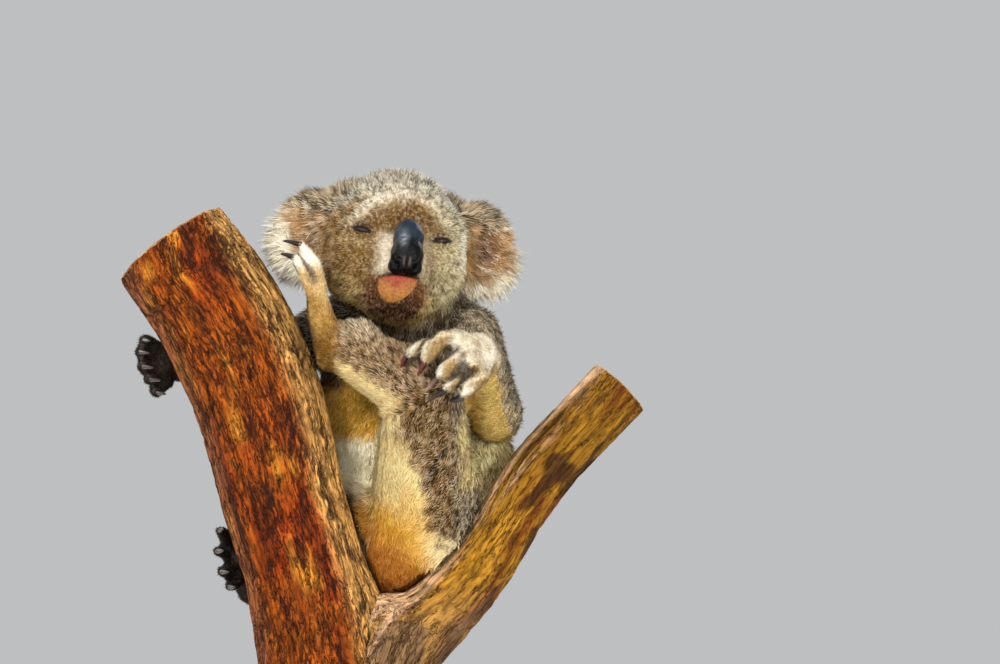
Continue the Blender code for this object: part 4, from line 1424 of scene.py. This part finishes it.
def makeBark(title, name, look, seed):
    bark = meshFrom(title, *merged(name))
    remeshed(bark, look["cell"])
    points, edges = pointsOf(bark.data), edgesOf(bark.data)
    t, off, run = limbPlaces(points)
    sawn = ramp(np.abs(normalsOf(bark.data) @ run), 0.75, 0.9)
    sawn = ramp(spreadOne(spreadOne(sawn, edges), edges), 0.3, 0.7)
    points = smoothed(points, edges, 1 - sawn, 24)
    e1 = unit(np.cross(run, [0, 1, 0]))
    e2 = np.cross(run, e1)
    place = np.stack([off @ e1, off @ e2, t], -1)
    putPoints(bark.data, points)
    normals = normalsOf(bark.data)
    warp = np.stack([clouds(points, 0.030, seed + k, 2) for k in range(3)], -1)
    plates = place / np.array([look["across"], look["across"], look["along"]])
    edge, owner = flakes(plates + warp * np.array([1.1, 1.1, 0.8]), seed + 10)
    crack = (1 - ramp(edge, 0.02, 0.22)) * ramp(clouds(points, 0.018, seed + 40, 2), -0.15, 0.2)
    depth = look["deep"] * (0.75 * crack + 0.25 * (0.5 - (owner - 0.5) * 0.5))
    rolling = 0.0014 * (0.5 + 0.5 * clouds(points, 0.05, seed + 30, 2))
    depth += 0.0006 * clouds(points, 0.006, seed + 20, 2) + rolling
    # the two limbs grow into each other at the fork
    depth -= fork["swell"] * bell(np.linalg.norm((points - fork["place"]) / np.array(fork["reach"]), axis=1))
    points = points - normals * (depth * (1 - sawn))[:, None]
    putPoints(bark.data, points)
    putColours(bark.data, "barkMarks", np.stack([crack, sawn, owner], -1))
    layer = bark.data.attributes.new("barkPlace", "FLOAT_VECTOR", "POINT")
    layer.data.foreach_set("vector", (place + 1.0).astype(np.float32).ravel())
    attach(bark, "root")
    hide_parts(name)
    return bark, points, place, unit(off)


def barkCracks(tree, fine, bent, look):
    # 1 on sound bark and less in a split; splits run where a stretched noise passes its middle value
    opening = noiseOn(tree, fine, 0.4, 2.0)
    sound = []
    for scale, wide, rest, place in ((0.55, 0.075, 0.0, bent), (1.15, 0.075, 0.12, fine)):
        thread = noiseOn(tree, place, scale, 5.0, roughness=0.6)
        level = addNode(tree, "Math", {0: thread, 1: 0.5}, operation="SUBTRACT")["Value"]
        near = addNode(tree, "Math", {0: level}, operation="ABSOLUTE")["Value"]
        width = mapped(tree, opening, 0.36, 0.66, 0.006, wide * look["crackWide"])
        sound.append(mapped(tree, near, high=width, toLow=rest))
    return addNode(tree, "Math", {0: sound[0], 1: sound[1]}, operation="MULTIPLY")["Value"]


def growthRings(tree, place):
    centred = addNode(tree, "VectorMath", {0: place, 1: (1.0, 1.0, 1.0)}, operation="SUBTRACT")["Vector"]
    sockets = {"Vector": centred, "Scale": sawnWood["rings"], "Distortion": 2.0, "Detail": 2.0}
    rings = addNode(tree, "TexWave", sockets, wave_type="RINGS", rings_direction="Z")["Fac"]
    return mixed(tree, rings, (*sawnWood["dark"], 1), (*sawnWood["pale"], 1))


def barkMaterial(title, look):
    material, tree, shader = newMaterial(title)
    place = attribute(tree, "barkPlace", "Vector")
    marks = addNode(tree, "SeparateColor", {"Color": attribute(tree, "barkMarks")})
    stretch = (1 / look["fineAcross"], 1 / look["fineAcross"], 1 / look["fineAlong"])
    fine = addNode(tree, "Mapping", {"Vector": place, "Scale": stretch})["Vector"]
    bend = noiseOn(tree, fine, 0.55, 4.0, "Color")
    reach = (3.4, 3.4, 2.2)
    bent = addNode(tree, "VectorMath", {0: bend, 1: reach, 2: fine}, operation="MULTIPLY_ADD")["Vector"]
    grain = noiseOn(tree, fine, 1.6, 8.0, roughness=0.62)
    sound = barkCracks(tree, fine, bent, look)
    # plates differ in brightness, their edges are dark, and the large tone comes from the limb
    plates = addNode(tree, "TexVoronoi", {"Vector": bent, "Scale": 1.0}, feature="F1")["Color"]
    flick = addNode(tree, "SeparateColor", {"Color": plates})["Red"]
    bright = mapped(tree, flick, toLow=look["dim"], toHigh=look["bright"])
    large = attribute(tree, "barkTone")
    tone = addNode(tree, "VectorMath", {0: large, "Scale": bright}, operation="SCALE")["Vector"]
    grained = mixed(tree, look["grain"], tone, mapped(tree, grain, 0.34, 0.66, 0.12, 0.88), "OVERLAY")
    cracked = mixed(tree, sound, (*look["crack"], 1), grained)
    # darker where the bark's shape is split deepest
    gap = addNode(tree, "Math", {0: marks["Red"], 1: 0.5}, operation="MULTIPLY")["Value"]
    darkInSplits = mixed(tree, gap, cracked, (*look["crack"], 1))
    relief = addNode(tree, "Math", {0: grain, 1: 0.5, 2: sound}, operation="MULTIPLY_ADD")["Value"]
    feed(tree, shader, {
        "Base Color": mixed(tree, marks["Green"], darkInSplits, growthRings(tree, place)),
        "Normal": bumped(tree, relief, 0.8, look["bump"]), "Roughness": 0.85, "Specular IOR Level": 0.08,
    })
    return material


stem, points, place, offs = makeBark("barkStem", "perch_stem", barkLook["stem"], 201)
broad = clouds(place * np.array([1, 1, 0.35]), 0.030, 220, 3)
small = clouds(place * np.array([1, 1, 0.3]), 0.014, 230, 3)
tone = np.tile(srgb(126, 60, 12), (len(points), 1))
tone = blend(tone, srgb(126, 46, 8), 0.9 * ramp(broad, 0.0, 0.5))
tone = blend(tone, srgb(176, 118, 38), 0.55 * ramp(small, 0.1, 0.5))
tone = blend(tone, srgb(72, 30, 10), 0.7 * ramp(-small + 0.4 * broad, 0.15, 0.5))
tone = blend(tone, srgb(176, 132, 72), ramp(offs[:, 0] + 0.14 * small + 0.1 * offs[:, 1], 0.30, 0.66) * 0.9)
tone = blend(tone, srgb(120, 84, 60), 0.5 * ramp(-offs[:, 0], 0.6, 0.95))
putColours(stem.data, "barkTone", tone)
stem.data.materials.append(barkMaterial("stemBark", barkLook["stem"]))

branch, points, place, offs = makeBark("barkBranch", "perch_branch", barkLook["branch"], 301)
broad = clouds(place * np.array([1, 1, 0.4]), 0.026, 320, 3)
small = clouds(place * np.array([1, 1, 0.2]), 0.012, 330, 3)
tone = np.tile(srgb(146, 102, 26), (len(points), 1))
tone = blend(tone, srgb(118, 68, 14), ramp(small, 0.0, 0.4))
# dark patches, more of them on the underside: partly the bark's colour, partly painted shade
tone = blend(tone, srgb(54, 30, 16), 0.85 * ramp(broad - 0.25 * offs[:, 2], 0.18, 0.34))
tone = tone * (1.04 - 0.42 * ramp(points[:, 2], 0.20, 0.33))[:, None]
# a pale line along the upper left edge, partly the bark's colour and partly a painted highlight
tone = blend(tone, srgb(206, 168, 130), 0.85 * ramp(offs[:, 2] - 0.3 * offs[:, 0] + 0.4 * small, 0.30, 0.66))
tone = blend(tone, srgb(136, 108, 78), 0.45 * ramp(0.20 - points[:, 2], 0, 0.06))
putColours(branch.data, "barkTone", tone)
branch.data.materials.append(barkMaterial("branchBark", barkLook["branch"]))
print("bark: stem and branch,", len(stem.data.polygons) + len(branch.data.polygons), "faces")

# the stand: a dark board and two steel posts
standLook = {
    "round": 0.003, "flange": 0.021, "flangeHigh": 0.004, "postEdge": 0.0006,
    "boardDark": srgb(44, 28, 20), "boardPale": srgb(92, 60, 40), "boardGrain": (1.0, 14.0, 14.0),
    "steelDark": (0.42, 0.43, 0.44, 1), "steelPale": (0.62, 0.63, 0.64, 1), "brushed": (1.0, 1.0, 22.0),
}


def makeBoard():
    low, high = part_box("stand_base")
    bpy.ops.mesh.primitive_cube_add(size=1, location=(low + high) / 2)
    board = bpy.context.object
    board.name = "displayBoard"
    board.scale = high - low
    selectOnly(board)
    bpy.ops.object.transform_apply(location=True, rotation=True, scale=True)
    bpy.ops.object.mode_set(mode="EDIT")
    bpy.ops.mesh.select_all(action="SELECT")
    bpy.ops.mesh.bevel(offset=standLook["round"], segments=4, profile=0.6)
    bpy.ops.object.mode_set(mode="OBJECT")
    bpy.ops.object.shade_smooth_by_angle(angle=math.radians(40))
    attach(board, "root")
    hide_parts("stand_base")
    return board


def makePost(name):
    # a straight rod with a turned flange where it meets the board
    low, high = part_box(name)
    radius = (high[0] - low[0]) / 2
    bpy.ops.mesh.primitive_cylinder_add(
        vertices=64, radius=radius, depth=high[2] - low[2], location=(low + high) / 2
    )
    post = bpy.context.object
    post.name = name.replace("stand_rod", "steelPost")
    selectOnly(post)
    bpy.ops.object.transform_apply(location=True, rotation=True, scale=True)
    bpy.ops.object.mode_set(mode="EDIT")
    bpy.ops.mesh.select_all(action="DESELECT")
    bpy.ops.object.mode_set(mode="OBJECT")
    for face in post.data.polygons:
        face.select = face.normal.z < -0.9
    bpy.ops.object.mode_set(mode="EDIT")
    bpy.ops.mesh.extrude_region_move(TRANSFORM_OT_translate={"value": (0, 0, 0)})
    grow = standLook["flange"] / radius
    bpy.ops.transform.resize(value=(grow, grow, 1))
    bpy.ops.mesh.extrude_region_move(TRANSFORM_OT_translate={"value": (0, 0, -standLook["flangeHigh"])})
    bpy.ops.object.mode_set(mode="OBJECT")
    # the flange stands on the board, so the ring that it grew from moves up
    points = pointsOf(post.data)
    points[np.abs(points[:, 2] - low[2]) < 0.0001, 2] += standLook["flangeHigh"]
    points[:, 2] = np.maximum(points[:, 2], low[2])
    putPoints(post.data, points)
    edge = post.modifiers.new("edge", "BEVEL")
    edge.width = standLook["postEdge"]
    edge.segments = 2
    edge.limit_method = "ANGLE"
    applyAll(post)
    bpy.ops.object.shade_smooth_by_angle(angle=math.radians(40))
    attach(post, "root")
    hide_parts(name)
    return post


def boardMaterial():
    material, tree, shader = newMaterial("stainedBoard")
    grain = objectNoise(tree, 14, 6.0, standLook["boardGrain"])
    feed(tree, shader, {
        "Base Color": mixed(tree, grain, (*standLook["boardDark"], 1), (*standLook["boardPale"], 1)),
        "Normal": bumped(tree, grain, 0.2, 0.0004), "Roughness": 0.42,
    })
    return material


def steelMaterial():
    material, tree, shader = newMaterial("brushedSteel")
    brush = objectNoise(tree, 60, 5.0, standLook["brushed"])
    feed(tree, shader, {
        "Base Color": mixed(tree, brush, standLook["steelDark"], standLook["steelPale"]),
        "Roughness": mapped(tree, brush, toLow=0.26, toHigh=0.44), "Metallic": 1.0,
    })
    return material


makeBoard().data.materials.append(boardMaterial())
steel = steelMaterial()
for name in ("stand_rod_1", "stand_rod_2"):
    makePost(name).data.materials.append(steel)
print("stand: board and posts")

# camera, floor and lights, which all point at the aim
shoot = {"place": (0.1125, -2.9836, 0.1004), "tilt": 96, "lens": 120, "aim": (0.02, 0, 0.36)}
bpy.ops.object.camera_add(location=shoot["place"], rotation=(math.radians(shoot["tilt"]), 0, 0))
camera = bpy.context.object
camera.data.lens = shoot["lens"]
camera.data.sensor_width = 36
bpy.context.scene.camera = camera

bpy.ops.mesh.primitive_plane_add(size=14, location=(0, 0, 0))
floor = bpy.context.object
floor.name = "studioFloor"
selectOnly(floor)
bpy.ops.object.transform_apply(location=True, rotation=True, scale=True)
floorMaterial, tree, shader = newMaterial("paleFloor")
floorTone = mixed(tree, objectNoise(tree, 3.0, 2.0), (0.78, 0.78, 0.77, 1), (0.84, 0.84, 0.83, 1))
feed(tree, shader, {"Base Color": floorTone, "Roughness": 0.85})
floor.data.materials.append(floorMaterial)

lights = {
    "keyLight": {"place": (-0.95, -2.1, 1.45), "size": 0.7, "power": 62, "tint": (1.0, 0.97, 0.92)},
    "fillLight": {"place": (1.7, -1.9, 0.75), "size": 1.0, "power": 48, "tint": (1.0, 0.985, 0.96)},
    "frontLight": {"place": (0.35, -2.6, 0.45), "size": 1.0, "power": 14, "tint": (1.0, 0.98, 0.95)},
    "backLight": {"place": (1.0, 1.9, 1.6), "size": 1.2, "power": 34, "tint": (1.0, 0.98, 0.95)},
    "leftLight": {"place": (-1.9, 1.0, 1.3), "size": 1.2, "power": 22, "tint": (1.0, 0.98, 0.95)},
}
for name, light in lights.items():
    bpy.ops.object.light_add(type="AREA", location=light["place"])
    lamp = bpy.context.object
    lamp.name = name
    lamp.data.size = light["size"]
    lamp.data.energy = light["power"]
    lamp.data.color = light["tint"]
    lamp.rotation_euler = (Vector(shoot["aim"]) - Vector(light["place"])).to_track_quat("-Z", "Y").to_euler()

world = bpy.data.worlds.new("paleStudio")
bpy.context.scene.world = world
world.use_nodes = True
world.node_tree.nodes["Background"].inputs["Color"].default_value = (0.86, 0.87, 0.88, 1)
world.node_tree.nodes["Background"].inputs["Strength"].default_value = 0.60
bpy.context.scene.view_settings.view_transform = "Standard"
print("scene: camera, floor and lights set")
